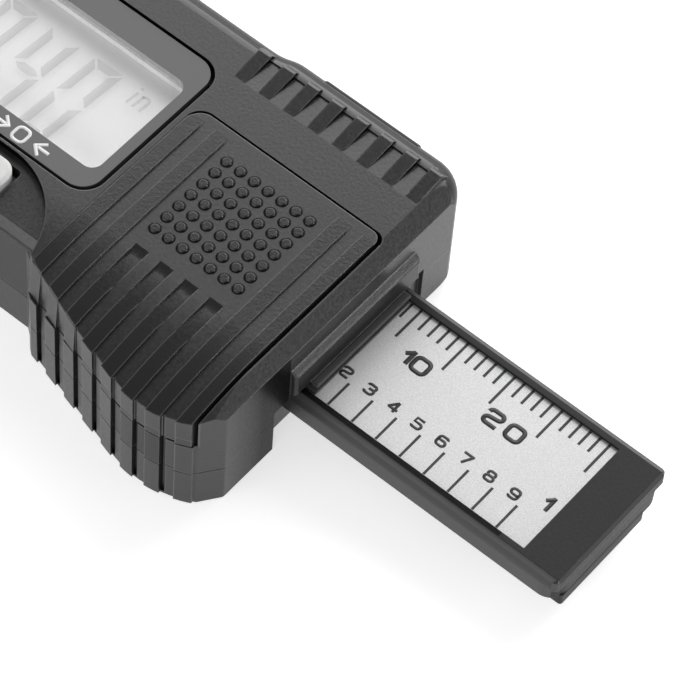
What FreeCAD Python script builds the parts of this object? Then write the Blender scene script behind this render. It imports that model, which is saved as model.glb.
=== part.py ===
import FreeCAD, Part
import math
import os
from FreeCAD import Vector

# Digital tread depth gauge, 0 to 25.4 mm.  Millimetres.
# X runs from the measuring face to the free end of the ruler, Y to the far side,
# Z out of the display.  The model is drawn from the centre of the measuring face, on the
# probe's axis, and is moved to the middle of its underside as it is saved.

# ruler (the sliding beam)
ruler_half_width = 7.3
ruler_top = 1.65            # upper face of the frame
ruler_bottom = -1.7         # lower face, without the rib
ruler_seam = 0.3            # where the upper and lower halves meet
ruler_end = 100.1
ruler_start = 24.0
ruler_edge = 0.45           # chamfer along the upper edges
rib_near = -6.3             # back rib, across the ruler
rib_far = 4.75
rib_depth = 1.0
back_corner = 1.8           # rounding of the lower half's end, in plan
label_half_width = 6.28
label_end = 95.82
label_top = 1.35
label_thickness = 0.15
grid_thickness = 0.6
grid_start = 34.0
scale_reading = 3.6         # what the scale shows at rest, so how far the probe stands out

# probe
probe_diameter = 2.4
probe_grip = 8.0            # length held inside the ruler
probe_fit = 0.05            # radial running fit in the foot

# housing
body_start = 9.0
body_end = 72.2
near_wall = -14.0
far_wall = 15.4
far_swell = 0.55            # the far wall stands out this much beside the battery bay
swell_from = 51.0
swell_to = 54.0
top = 8.35
bottom = -4.55
lip_line = 4.1              # lower edge of the battery cover's lip
wall = 1.6
far_round = 2.2             # rounding of the far upper edge
far_corner = 3.7            # rounding of the far end corner, in plan
far_corner_turn = math.radians(20)      # the rounding stops this far short of the end face
end_bevel_run = 1.52        # bevel above the ruler's slot, along X and down
end_bevel_drop = 1.25
foot_chamfer = 0.3          # along the far side of the underside
parting_groove = 0.12       # shadow line where the halves meet

# thumb grip on the near side
grip_start = 48.9
grip_ramp_end = 51.0
grip_slope = math.atan(0.262)
grip_centre = (65.5, -8.6)
grip_radius = 10.5
grip_facet = ((70.87, -17.62), (72.2, -15.75))
facet_rounding = 0.5
grip_lean = 0.55            # the upper half leans in this much at the top of the grip's ramp
lean_end = 57.5             # and stands upright from here on
crown_start = -9.0          # the top falls away towards the grip from here
crown_radius = 37.0

# ribs that run over the cover and down the grip, and the pads in line with them
rib_first = 50.47
rib_pitch = 2.68
rib_width = 1.42
rib_count = 8
rib_height = 0.2
rib_side_height = 0.25
short_ribs = (2, 3, 4, 5)
short_rib_start = -8.2
scoop_depth = 0.28          # the short ribs start in a scoop that runs out along them
scoop_run = 5.3
groove_offset = 0.17        # from a rib's end to the middle of its groove
groove_width = 0.38         # below the cover
groove_depth = 0.32
groove_bottom = 0.25        # the grooves stop this far above the underside
lip_groove_width = 0.14     # on the cover's lip
lip_groove_depth = 0.12
pad_width = 1.34
pad_near = 10.2
pad_far = 13.5
pad_height = 0.45
pad_valley = 0.15           # the top dips this much towards the far edge between the pads

# battery cover
cover_start = 50.46
cover_end = 70.5
cover_far = 5.77
cover_plate = 1.5
cover_corner = 1.6          # at the display end
cover_end_corner = 0.9
cover_gap = 0.12            # clearance at the display end and under the lip
cover_end_gap = 0.33
cover_far_gap = 0.2
lip_valley_gap = 0.3        # wider clearance under the lip between the ribs
hook_near = -13.7
hook_far = -11.8
dot_first = (56.0, 2.99)
dot_pitch = 1.51
dot_rows = 7
dot_radius = 0.52
dot_crest = 0.36            # radius of their flat tops
dot_height = 0.16

# battery, a 16 mm cell 3.2 mm thick
cell_radius = 8.0
cell_height = 3.2
cell_centre = (60.4, -2.9)
cell_bottom = 3.05
bay_floor = 2.75

# display
bezel_start = 14.0
bezel_end = 49.37
bezel_near = -7.28
bezel_far = 9.85
bezel_corner = 2.0
bezel_top = 8.22
bezel_thickness = 0.62
recess_depth = 1.2          # the bezel lies in a recess, with its own gap on each side
recess_start = 13.7
recess_end = 49.83
recess_near = -7.65
recess_far = 10.08
recess_corner = 2.3
window_start = 15.3
window_end = 48.35
window_near = -5.1
window_far = 6.94
window_corner = 1.1
lens_thickness = 0.4
lcd_thickness = 1.5
lcd_top = 6.48              # the glass lies this high, well below the window
frame_margin = 0.6          # the frame round the glass is this much larger than the window

# button panel and buttons
panel_far = -7.9
panel_start = 11.0
panel_end = 50.0
panel_corner = 8.0
panel_z = 7.65
panel_edge = (-12.9, 7.4)
panel_rim = (-13.75, 7.0)
button_length = 8.4
button_near = -12.5
button_far = -8.95
button_corner = 1.5
button_hole_corner = 0.4
button_top = 8.5
button_last = 39.4          # centre of the zero button
button_pitch = 10.0
button_flange = 0.35
button_travel = 0.4

# circuit board and what stands on it
board_bottom = 1.85
board_thickness = 1.0
board_start = 11.4
board_end = 49.0
board_near = -12.6
board_far = 13.2
arm_end = 68.5              # the arm beside the battery that carries the data contacts
arm_near = 7.2
cavity_start = 10.6
cavity_end = 49.6
cavity_near = -13.0
cavity_far = 13.6
cavity_top = 6.2
floor_top = -3.0

# measuring foot
foot_length = 9.0
foot_half_width = 29.0
foot_top = 3.6
foot_end_radius = 3.0
foot_front_wall = 1.6
lug_inner = 8.9
lug_outer = 13.4
lug_end = 18.0

# slot where the ruler leaves the body
slot_play = 0.15
mouth_near = -9.5
mouth_far = 9.9
mouth_top = 0.9
mouth_shelf = 0.45          # depth beside the ruler
mouth_depth = 1.25          # depth round the ruler's lower half
mouth_deep_near = -8.3
mouth_deep_far = 8.6
brow_near = -7.6
brow_far = 8.4
brow_bottom = 1.95
brow_crease = 4.4
brow_top = 5.05
brow_depth = 0.65
index_near = -5.8
index_far = 6.4
index_end = 73.65           # the edge that the scale is read against
index_thickness = 0.4

# data port on the far side
port_start = 56.4
port_end = 66.5
port_bottom = 1.2
port_top = 7.75             # on the rounding of the far edge
port_depth = 1.5
port_proud = 0.14           # the plug stands out this much

# fasteners
screw_thread = 1.0
screw_head = 1.9
screw_head_height = 1.2
screw_length = 7.2
screw_spots = ((12.8, 11.2), (12.8, -11.2), (47.0, 11.3), (47.0, -10.9), (68.6, 11.6), (68.0, -14.2))
board_screw_spots = ((22.0, 11.6), (38.0, 11.6))


def box(x0, x1, y0, y1, z0, z1):
    return Part.makeBox(x1 - x0, y1 - y0, z1 - z0, Vector(x0, y0, z0))


def cylinder(x, y, z, radius, height, axis=Vector(0, 0, 1)):
    return Part.makeCylinder(radius, height, Vector(x, y, z), axis)


def prism(points, z0, z1):
    """Straight-sided prism on a plan of (x, y) points."""
    corners = [Vector(x, y, z0) for x, y in points]
    face = Part.Face(Part.makePolygon(corners + corners[:1]))
    return face.extrude(Vector(0, 0, z1 - z0))


def bar(points, x0, x1):
    """Bar along X on a section of (y, z) points."""
    corners = [Vector(x0, y, z) for y, z in points]
    face = Part.Face(Part.makePolygon(corners + corners[:1]))
    return face.extrude(Vector(x1 - x0, 0, 0))


def rail(points, y0, y1):
    """Bar along Y on a section of (x, z) points."""
    corners = [Vector(x, y0, z) for x, z in points]
    face = Part.Face(Part.makePolygon(corners + corners[:1]))
    return face.extrude(Vector(0, y1 - y0, 0))


def rounded_box(x0, x1, y0, y1, z0, z1, radius):
    """Box with its four upright edges rounded."""
    block = box(x0, x1, y0, y1, z0, z1)
    upright = [e for e in block.Edges if abs(e.Vertexes[0].Z - e.Vertexes[1].Z) > 1e-6]
    return block.makeFillet(radius, upright)


def line(a, b):
    return Part.LineSegment(Vector(a[0], a[1], 0), Vector(b[0], b[1], 0)).toShape()


def arc(a, middle, b):
    ends = [Vector(p[0], p[1], 0) for p in (a, middle, b)]
    return Part.Arc(*ends).toShape()


def on_circle(centre, radius, angle):
    return (centre[0] + radius * math.cos(angle), centre[1] + radius * math.sin(angle))


def corner_arc(before, corner, after, radius):
    """Start, middle and end of the arc that rounds a corner between two straight lines."""
    legs = []
    for point in (before, after):
        length = math.hypot(point[0] - corner[0], point[1] - corner[1])
        legs.append(((point[0] - corner[0]) / length, (point[1] - corner[1]) / length))
    half = math.acos(legs[0][0] * legs[1][0] + legs[0][1] * legs[1][1]) / 2
    reach = radius / math.tan(half)
    inward = (legs[0][0] + legs[1][0], legs[0][1] + legs[1][1])
    scale = (radius / math.sin(half) - radius) / math.hypot(*inward)
    start = (corner[0] + legs[0][0] * reach, corner[1] + legs[0][1] * reach)
    middle = (corner[0] + inward[0] * scale, corner[1] + inward[1] * scale)
    end = (corner[0] + legs[1][0] * reach, corner[1] + legs[1][1] * reach)
    return start, middle, end


def grip_edges(out):
    """Near side of the plan, from the display end to the ruler end, moved outwards by out."""
    radius = grip_radius + out
    turn = -math.pi / 2 - grip_slope
    tangent = on_circle(grip_centre, radius, turn)
    knee = (grip_facet[0][0] + 0.6 * out, grip_facet[0][1] - 0.8 * out)
    last = math.atan2(knee[1] - grip_centre[1], knee[0] - grip_centre[0])
    ramp = (grip_ramp_end, tangent[1] + (tangent[0] - grip_ramp_end) * math.tan(grip_slope))
    foot = (grip_start, near_wall - out)
    end = on_circle(grip_centre, radius, last)
    middle = on_circle(grip_centre, radius, (turn + last) / 2)
    finish = (body_end, grip_facet[1][1] - 0.6 * out)
    rounding = corner_arc(end, finish, (body_end, 0.0), facet_rounding)
    edges = [line(foot, ramp), line(ramp, tangent), arc(tangent, middle, end), line(end, rounding[0])]
    edges.append(arc(*rounding))
    return foot, edges, rounding[2]


def far_edges(start, out):
    """Far side of the plan, from the ruler end back to the display end."""
    side = far_wall + far_swell + out
    centre = (body_end - far_corner * math.cos(far_corner_turn), side - far_corner)
    first = on_circle(centre, far_corner, far_corner_turn)
    second = on_circle(centre, far_corner, math.pi / 2)
    middle = on_circle(centre, far_corner, (far_corner_turn + math.pi / 2) / 2)
    half = ((swell_to - swell_from) / 2, far_swell / 2)
    bend = (half[0] ** 2 + half[1] ** 2) / (2 * half[1])
    turn = math.asin(half[0] / bend) / 2
    joint = (swell_to - half[0], side - half[1])
    last = (swell_from, side - far_swell)
    crest = on_circle((swell_to, side - bend), bend, math.pi / 2 + turn)
    trough = on_circle((swell_from, last[1] + bend), bend, -math.pi / 2 + turn)
    edges = [line(start, first), arc(first, middle, second), line(second, (swell_to, side))]
    edges += [arc((swell_to, side), crest, joint), arc(joint, trough, last)]
    edges.append(line(last, (body_start, side - far_swell)))
    return edges, (body_start, side - far_swell)


def body_face(out=0.0):
    """Plan of the housing.  out moves the near and far walls outwards."""
    foot, near, finish = grip_edges(out)
    far, corner = far_edges(finish, out)
    start = (body_start, near_wall - out)
    edges = [line(start, foot)] + near + far + [line(corner, start)]
    return Part.Face(Part.Wire(edges))


def body_block(z0, z1, out=0.0):
    face = body_face(out)
    face.translate(Vector(0, 0, z0))
    return face.extrude(Vector(0, 0, z1 - z0))


def crown(rise=0.0):
    """Everything under the top surface: a flat that rolls off towards the grip."""
    height = top + rise
    centre = (crown_start, top - crown_radius)
    radius = crown_radius + rise
    edge = -24.0
    drop = centre[1] + math.sqrt(radius ** 2 - (edge - centre[0]) ** 2)
    mid_y = (edge + crown_start) / 2
    mid_z = centre[1] + math.sqrt(radius ** 2 - (mid_y - centre[0]) ** 2)
    low = bottom - 2
    corners = [(crown_start, height), (30.0, height), (30.0, low), (edge, low), (edge, drop)]
    points = [Vector(0, y, z) for y, z in corners]
    edges = [Part.LineSegment(points[i], points[i + 1]).toShape() for i in range(4)]
    edges.append(Part.Arc(points[4], Vector(0, mid_y, mid_z), points[0]).toShape())
    return Part.Face(Part.Wire(edges)).extrude(Vector(110, 0, 0))


def rib_start(index):
    return rib_first + index * rib_pitch


def side_ribs(z0, z1):
    """The ribs where they run down the grip's side."""
    skin = body_block(z0, z1, rib_side_height)
    slabs = [box(rib_start(i), rib_start(i) + rib_width, -24, -10, z0, z1) for i in range(rib_count)]
    return skin.common(Part.makeCompound(slabs))


def wall_y(x):
    """Where the grip's wall stands, beyond its ramp."""
    turn = -math.pi / 2 - grip_slope
    tangent = on_circle(grip_centre, grip_radius, turn)
    if x < tangent[0]:
        return tangent[1] + (tangent[0] - x) * math.tan(grip_slope)
    return grip_centre[1] - math.sqrt(grip_radius ** 2 - (x - grip_centre[0]) ** 2)


def lean_at(x):
    """How far the wall's upper edge stands back at x."""
    return grip_lean * max(0.0, lean_end - x) / (lean_end - grip_ramp_end)


def wire(points, z):
    corners = [Vector(x, y, z) for x, y in points]
    return Part.makePolygon(corners + corners[:1])


def lean_cut():
    """What the upper half loses where the grip's wall leans in."""
    wires = []
    clear = 0.02
    for z in (-clear, top + rib_height + 0.1):
        knee = wall_y(grip_ramp_end) - clear / 2 + grip_lean * z / top
        plan = [(grip_start + clear, -24.0), (lean_end, -24.0), (lean_end, wall_y(lean_end) - clear),
                (grip_ramp_end, knee), (grip_start + clear, near_wall - 2 * clear)]
        wires.append(wire(plan, z))
    return Part.makeLoft(wires, True, True)


def lip_ribs():
    """On the cover's lip the ribs run out into the wall towards the top."""
    ribs = []
    for index in range(rib_count):
        start = rib_start(index)
        ends = (start, start + rib_width)
        wires = []
        for z, out in ((lip_line, rib_side_height), (top, 0.0)):
            edge = [(x, wall_y(x) + lean_at(x) * z / top - out) for x in ends]
            wires.append(wire(edge + [(ends[1], -12.0), (ends[0], -12.0)], z))
        ribs.append(Part.makeLoft(wires, True, True).common(crown()))
    return ribs


def side_grooves(z0, z1, width, depth):
    """The narrow shadow grooves beside the ribs, on the grip's side."""
    ring = body_block(z0, z1, 1.0).cut(body_block(z0 - 1, z1 + 1, -depth))
    slabs = []
    for index in range(rib_count - 1):
        middle = rib_start(index) + rib_width + groove_offset
        slabs.append(box(middle - width / 2, middle + width / 2, -24, -12, z0, z1))
    return ring.common(Part.makeCompound(slabs))


def top_ribs():
    """The ribs on the cover: long ones at its sides and short ones below the dots."""
    skin = crown(rib_height).common(body_block(5.0, 10.0, rib_side_height))
    ribs = []
    for index in range(rib_count):
        start = short_rib_start if index in short_ribs else cover_far - 0.7
        height = top + rib_height + 0.1
        section = [(start, top - 0.02), (start - 1.0, top + rib_height), (start - 1.1, height),
                   (-24.0, height), (-24.0, 5.0), (start, 5.0)]
        ribs.append(bar(section, rib_start(index), rib_start(index) + rib_width))
    return skin.common(Part.makeCompound(ribs))


def scoops():
    """The hollows that the short ribs start in."""
    end = short_rib_start - scoop_run
    section = [(short_rib_start, top), (short_rib_start - 1.0, top - scoop_depth), (end, top - 0.08),
               (end, top + 1.0), (short_rib_start, top + 1.0)]
    return [bar(section, rib_start(index), rib_start(index) + rib_width) for index in short_ribs]


def far_pads():
    """Wedge pads along the far edge, in line with the ribs."""
    crest = top + pad_height
    section = [(pad_near, top - 0.01), (pad_far, crest), (pad_far + 0.3, crest - 0.08),
               (pad_far + 0.85, top - 0.3), (pad_far + 0.85, top - 1.5), (pad_near, top - 1.5)]
    pads = []
    for index in range(rib_count):
        pad = bar(section, rib_start(index), rib_start(index) + pad_width)
        ridge = []
        for edge in pad.Edges:
            bounds = edge.BoundBox
            if bounds.XLength < 1e-6 and bounds.ZMax > top + 0.1 and bounds.YLength > 1.0:
                ridge.append(edge)
        pads.append(pad.makeChamfer(0.1, ridge))
    return pads


def pad_valleys():
    """What the top loses between the pads."""
    section = [(pad_near, top), (pad_far + 0.05, top - pad_valley), (pad_far + 0.05, top + 1.0),
               (pad_near, top + 1.0)]
    return [bar(section, rib_start(i) + pad_width, rib_start(i + 1)) for i in range(rib_count - 1)]


def upper_blank():
    """The outside of the upper half, cover included."""
    blank = body_block(0.0, top + 1.0).common(crown())
    far_top = []
    for edge in blank.Edges:
        centre = edge.CenterOfMass
        if abs(centre.z - top) < 1e-3 and centre.y > far_wall - 2.4 and centre.x < body_end - 0.05:
            far_top.append(edge)
    far_top = [e for e in far_top if e.BoundBox.YMin > 10.0 and e.BoundBox.XLength > 0.5]
    blank = blank.makeFillet(far_round, far_top)
    slope = end_bevel_drop / end_bevel_run
    bevel_start = body_end - end_bevel_run
    reach = 3.0
    bevel = rail([(bevel_start, top), (bevel_start - 0.5, top + 1.0), (body_end + reach, top + 1.0),
                  (body_end + reach, top - slope * (end_bevel_run + reach))], -30, 30)
    blank = blank.cut([bevel, lean_cut()] + pad_valleys())
    blank = blank.fuse([side_ribs(0.0, lip_line), top_ribs().cut(lean_cut())] + lip_ribs())
    blank = blank.fuse(far_pads() + dots()).cut(scoops())
    blank = blank.cut(side_grooves(-1.0, lip_line, groove_width, groove_depth))
    return blank.cut(side_grooves(lip_line, 10.0, lip_groove_width, lip_groove_depth)).removeSplitter()


def cover_region(opening=False):
    """Space that the battery cover takes: its plate and its lip down the grip."""
    gap, end_gap, far_gap = (cover_gap, cover_end_gap, cover_far_gap) if opening else (0.0, 0.0, 0.0)
    start = cover_start - gap
    end = cover_end + end_gap
    block = box(start, end, -40, cover_far + far_gap, lip_line - gap, 12)
    for x, radius in ((start, cover_corner), (end, cover_end_corner)):
        upright = []
        for edge in block.Edges:
            bounds = edge.BoundBox
            on_side = abs(bounds.XMin - x) < 1e-6 and bounds.XLength < 1e-6
            if on_side and bounds.ZLength > 1 and bounds.YMin > 0:
                upright.append(edge)
        block = block.makeFillet(radius, upright)
    plate = block.cut(crown(-cover_plate - gap))
    inner = body_block(-1, 12, -wall - gap)
    lip = block.cut(inner).common(box(40, 80, -40, crown_start - 3, 0, 12))
    if not opening:
        return plate.fuse(lip)
    valleys = []
    for index in range(rib_count - 1):
        valleys.append(box(rib_start(index) + rib_width, rib_start(index + 1), -24, -12,
                           lip_line - lip_valley_gap, lip_line))
    return plate.fuse([lip, Part.makeCompound(valleys).cut(inner)])


def dots():
    """Raised round dots, seven rows of seven, with sloping sides."""
    caps = []
    for column in range(dot_rows):
        for row in range(dot_rows):
            foot = Vector(dot_first[0] + column * dot_pitch, dot_first[1] - row * dot_pitch, top - 0.02)
            caps.append(Part.makeCone(dot_radius, dot_crest, dot_height + 0.02, foot))
    return caps


def cover_catches(play=0.0):
    """The tongue under the far edge and the two hooks that hold the cover down."""
    tongue = box(54 - play, 66.8 + play, cover_far - 0.6, cover_far + 1.1 + play, 6.86 - play, 7.5 + play)
    hooks = []
    for web, foot in ((52.25, 51.1), (67.55, 67.55)):
        hooks.append(box(web, web + 0.9, hook_near, hook_far, 4.9, 7.0))
        hooks.append(box(foot, foot + 1.9, hook_near, hook_far, 4.9, 5.5))
    return tongue, hooks


def battery_cover(blank):
    cover = blank.common(cover_region())
    tongue, hooks = cover_catches()
    return cover.fuse([tongue] + hooks).removeSplitter()


def display_opening():
    """Recess for the bezel, and the opening under it for the lens and the glass."""
    recess = rounded_box(recess_start, recess_end, recess_near, recess_far, bezel_top - recess_depth, 12,
                         recess_corner)
    margin = frame_margin + 0.05
    opening = box(window_start - margin, window_end + margin, window_near - margin, window_far + margin,
                  cavity_top - 0.1, bezel_top)
    seat = []
    for x0, x1 in ((bezel_start + 0.2, window_start - margin), (window_end + margin, bezel_end - 0.2)):
        seat.append(box(x0, x1, bezel_near + 2.0, bezel_far - 2.0, 6.5, bezel_top - bezel_thickness))
    return recess.cut(seat).fuse(opening)


def button_panel():
    """The lowered panel that the buttons stand in."""
    block = rounded_box(panel_start, panel_end, -40, panel_far, 2, 12, panel_corner)
    outside = (-40, panel_rim[1] - 0.1)
    section = [(panel_far + 1, panel_z + 0.06), panel_edge, panel_rim, outside, (-40, 12),
               (panel_far + 1, 12)]
    return block.common(bar(section, 0, 80))


def button_centres():
    return [button_last - button_pitch * step for step in (2, 1, 0)]


def button_holes():
    holes = []
    for centre in button_centres():
        half = button_length / 2 + 0.15
        holes.append(rounded_box(centre - half, centre + half, button_near - 0.15, button_far + 0.15, 5, 12,
                                 button_hole_corner))
    return holes


def ruler_way(play, start, end):
    """The channel that the ruler slides in."""
    side = ruler_half_width + play
    plate = box(start, end, -side, side, ruler_bottom - play, ruler_top + play)
    groove = box(start, end, rib_near - play, rib_far + play, ruler_bottom - rib_depth - play, ruler_bottom)
    return plate.fuse(groove)


def mouth():
    """Scoop in the end face around the ruler: a shelf beside it, and deeper round its lower half."""
    shelf = box(body_end - mouth_shelf, body_end + 1, mouth_near, mouth_far, bottom - 1, mouth_top)
    back = body_end - mouth_depth
    plan = [(body_end, mouth_near), (back, mouth_deep_near), (back, mouth_deep_far - 0.1),
            (body_end, mouth_deep_far)]
    return shelf.fuse(prism(plan, bottom - 1, 0.0))


def brow():
    """Raised band over the slot, and the index strip that the scale is read against."""
    front = body_end + brow_depth
    section = [(body_end - 1, brow_bottom), (front - 0.1, brow_bottom), (front + 0.05, brow_bottom + 0.2),
               (front, brow_crease), (front - 0.1, brow_crease + 0.15), (body_end, brow_top),
               (body_end - 1, brow_top)]
    band = rail(section, brow_near, brow_far)
    ends = []
    for edge in band.Edges:
        bounds = edge.BoundBox
        if bounds.YLength < 1e-6 and bounds.XMax > front and bounds.ZLength > 1:
            ends.append(edge)
    band = band.makeChamfer(0.2, ends)
    low = ruler_top + 0.12
    strip = rail([(body_end - 0.6, low), (index_end - 0.25, low), (index_end, low + 0.12),
                  (index_end, low + 0.2), (index_end - 0.1, low + index_thickness),
                  (body_end - 0.6, low + index_thickness)], index_near, index_far)
    return band, strip


def port_hole():
    """Pocket for the data port's plug, and the slot behind it to the contacts."""
    face = far_wall + far_swell
    pocket = box(port_start - 0.08, port_end + 0.08, face - port_depth - 0.1, face + 2, port_bottom - 0.08,
                 port_top + 0.08)
    slot = box(port_start + 1.3, port_end - 1.3, cavity_far - 1, face, port_bottom + 2.2, port_bottom + 4.0)
    return pocket.fuse(slot)


def screw_bosses():
    """Bosses inside the upper half, and their pilot holes."""
    posts = []
    pilots = []
    for x, y in screw_spots:
        posts.append(cylinder(x, y, 0.0, screw_head + 0.1, cavity_top + 0.3))
        pilots.append(cylinder(x, y, -0.5, screw_thread - 0.2, screw_length - 1.0))
    return posts, pilots


def lug_space(gap, z0, z1):
    """Room for the foot's two lugs between the halves."""
    spaces = []
    for side in (-1, 1):
        inner = side * (lug_inner - gap)
        outer = side * (lug_outer + gap)
        spaces.append(box(body_start - 1, lug_end + gap, min(inner, outer), max(inner, outer), z0, z1))
    return spaces


def upper_housing(blank):
    shell = blank.cut(cover_region(opening=True))
    cavity = box(cavity_start, cavity_end, cavity_near, cavity_far, -1, cavity_top)
    shell = shell.cut(cavity)
    posts, pilots = screw_bosses()
    shell = shell.fuse([p for p in posts[:4]])
    centre_x, centre_y = cell_centre
    bay = cylinder(centre_x, centre_y, bay_floor, cell_radius + 0.25, 9)
    inside = body_block(bay_floor, lip_line + 3, -wall - cover_gap - 0.3)
    under_lip = body_block(lip_line, lip_line + 3, -wall / 2)
    bay = bay.fuse(inside.fuse(under_lip).common(box(51.9, 68.9, -22.0, centre_y, bay_floor, lip_line + 3)))
    bay = bay.fuse(box(50.9, 69.8, -30.0, hook_far + 0.3, 4.7, 5.65))
    far = centre_y + cell_radius
    bay = bay.fuse(box(centre_x - 2.1, centre_x + 2.1, far - 1, far + 0.3, bay_floor, lip_line + 3))
    tongue, hooks = cover_catches(0.12)
    arm = box(cavity_end - 1, arm_end + 0.5, arm_near - 0.3, cavity_far, board_bottom - 0.3, 6.0)
    cuts = [bay, tongue, arm, display_opening(), button_panel(), mouth(), port_hole(),
            ruler_way(slot_play, body_start - 1, body_end + 1)]
    cuts += button_holes() + pilots + lug_space(0.1, -1, 1.8)
    shell = shell.cut(cuts)
    probe_room = box(body_start - 1, cavity_start + 1, -3, 3, -1, ruler_top)
    shell = shell.cut(probe_room)
    band, strip = brow()
    return shell.fuse([band, strip]).removeSplitter()


def lower_housing():
    block = body_block(bottom, -parting_groove)
    under = [e for e in block.Edges if abs(e.BoundBox.ZMax - bottom) < 1e-6 and e.BoundBox.YMin > 10]
    block = block.makeChamfer(foot_chamfer, under)
    block = block.fuse([side_ribs(bottom + 0.1, -parting_groove), body_block(-1.0, 0.0, -parting_groove)])
    block = block.cut(side_grooves(bottom + groove_bottom, 1.0, groove_width, groove_depth))
    cuts = []
    for near, far in ((cavity_near, -ruler_half_width - wall), (ruler_half_width + wall, cavity_far)):
        cuts.append(box(cavity_start, cavity_end, near, far, floor_top, 1))
    cuts.append(box(51.5, 66.0, -13.9, -ruler_half_width - wall, floor_top, 1))
    cuts.append(box(51.5, 66.0, ruler_half_width + wall, cavity_far, floor_top, 1))
    block = block.cut(cuts)
    posts = []
    holes = []
    for x, y in screw_spots:
        posts.append(cylinder(x, y, bottom + 0.5, screw_head + 0.9, -bottom - 0.5))
        holes.append(cylinder(x, y, bottom - 1, screw_thread + 0.15, 8))
        holes.append(cylinder(x, y, bottom - 1, screw_head + 0.2, screw_head_height + 1.6))
    trimmed = [post.common(body_block(bottom, 0.0, -0.8)) for post in posts]
    block = block.fuse(trimmed)
    cuts = [ruler_way(slot_play, body_start - 1, body_end + 1), mouth()] + holes
    cuts += lug_space(0.1, -1.3, 1)
    spring_room = box(60.0, 70.0, ruler_half_width, ruler_half_width + 1.15, -1.4, 1)
    return block.cut(cuts + [spring_room]).removeSplitter()


def measuring_foot():
    """Cross bar with the flat measuring face, and two lugs that the halves clamp."""
    foot = box(0, foot_length, -foot_half_width, foot_half_width, bottom, foot_top)
    ends = [e for e in foot.Edges if abs(e.BoundBox.XMin - foot_length) < 1e-6 and e.BoundBox.ZLength > 1]
    foot = foot.makeFillet(foot_end_radius, ends)
    rim = []
    for edge in foot.Edges:
        bounds = edge.BoundBox
        on_top = abs(bounds.ZMin - foot_top) < 1e-6 and bounds.XMin > -1e-6
        if on_top and bounds.XMax > 0.1:
            rim.append(edge)
    foot = foot.makeChamfer(0.6, rim)
    neck = box(foot_length - 4, foot_length, near_wall + 0.6, far_wall - 0.6, bottom, top - 1.6)
    shoulder = []
    for edge in neck.Edges:
        if abs(edge.BoundBox.ZMin - (top - 1.6)) < 1e-6 and edge.BoundBox.XMax < foot_length - 1:
            shoulder.append(edge)
    neck = neck.makeChamfer(3.0, shoulder)
    lugs = []
    for side in (-1, 1):
        inner = side * lug_inner
        outer = side * lug_outer
        lugs.append(box(foot_length - 1, lug_end, min(inner, outer), max(inner, outer), -1.2, 1.7))
    foot = foot.fuse([neck] + lugs)
    pocket = ruler_way(0.3, foot_front_wall, foot_length + 1)
    bore = cylinder(-1, 0, 0, probe_diameter / 2 + probe_fit, foot_length, Vector(1, 0, 0))
    holes = [cylinder(x, y, -6, screw_thread + 0.15, 12) for x, y in screw_spots[:2]]
    return foot.cut([pocket, bore] + holes).removeSplitter()


def display_bezel():
    plate = rounded_box(bezel_start, bezel_end, bezel_near, bezel_far, bezel_top - bezel_thickness, bezel_top,
                        bezel_corner)
    window = rounded_box(window_start, window_end, window_near, window_far, 0, 12, window_corner)
    return plate.cut(window)


def window_block(margin, z0, z1):
    return box(window_start - margin, window_end + margin, window_near - margin, window_far + margin, z0, z1)


def display_frame():
    """Light frame between the glass and the bezel.  It holds the clear pane."""
    high = bezel_top - bezel_thickness - 0.02
    frame = window_block(frame_margin, lcd_top + 0.02, high)
    return frame.cut([window_block(0.02, 0, 12), window_block(0.25, high - lens_thickness - 0.02, 12)])


def display_lens():
    high = bezel_top - bezel_thickness - 0.03
    return window_block(0.22, high - lens_thickness, high)


def lcd_panel():
    """Two sheets of glass; the rear one is wider and carries the contact edges."""
    rear = window_block(0.5, lcd_top - lcd_thickness, lcd_top - lcd_thickness / 2)
    front = box(window_start - 0.5, window_end + 0.5, window_near - 0.1, window_far + 0.1,
                lcd_top - lcd_thickness / 2, lcd_top)
    return rear.fuse(front)


def zebra_connectors():
    low = board_bottom + board_thickness
    high = lcd_top - lcd_thickness
    strips = []
    for near in (window_near - 0.4, window_far - 1.2):
        strips.append(box(window_start + 1, window_end - 1, near, near + 1.6, low, high))
    return Part.makeCompound(strips)


def circuit_board():
    main = box(board_start, board_end, board_near, board_far, board_bottom, board_bottom + board_thickness)
    arm = box(board_end - 1, arm_end, arm_near, board_far, board_bottom, board_bottom + board_thickness)
    board = main.fuse(arm).removeSplitter()
    cuts = []
    for x, y in (screw_spots[2], screw_spots[4]):
        cuts.append(cylinder(x, y, 0, screw_head + 0.3, 5))
    near_screw = screw_spots[3]
    cuts.append(box(near_screw[0] - 2.2, board_end + 1, board_near - 1, near_screw[1] + 2.2, 0, 5))
    for x, y in board_screw_spots:
        cuts.append(cylinder(x, y, 0, 0.9, 5))
    cuts.append(box(board_start - 1, lug_end + 0.4, lug_inner - 0.4, board_far + 1, 0, 5))
    cuts.append(box(board_start - 1, lug_end + 0.4, board_near - 1, -lug_inner + 0.4, 0, 5))
    return board.cut(cuts)


def driver_chip():
    """Potted chip on the board, a low mound of resin."""
    return Part.makeCone(2.6, 1.6, 1.0, Vector(32, 1, board_bottom + board_thickness))


def key_switches():
    """Three tact switches: square body and square plunger."""
    low = board_bottom + board_thickness
    middle = (button_near + button_far) / 2
    switches = []
    for centre in button_centres():
        body = box(centre - 1.5, centre + 1.5, middle - 1.5, middle + 1.5, low, low + 1.0)
        plunger = box(centre - 0.7, centre + 0.7, middle - 0.7, middle + 0.7, low + 1.0, low + 1.5)
        switches.append(body.fuse(plunger))
    return Part.makeCompound(switches)


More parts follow.
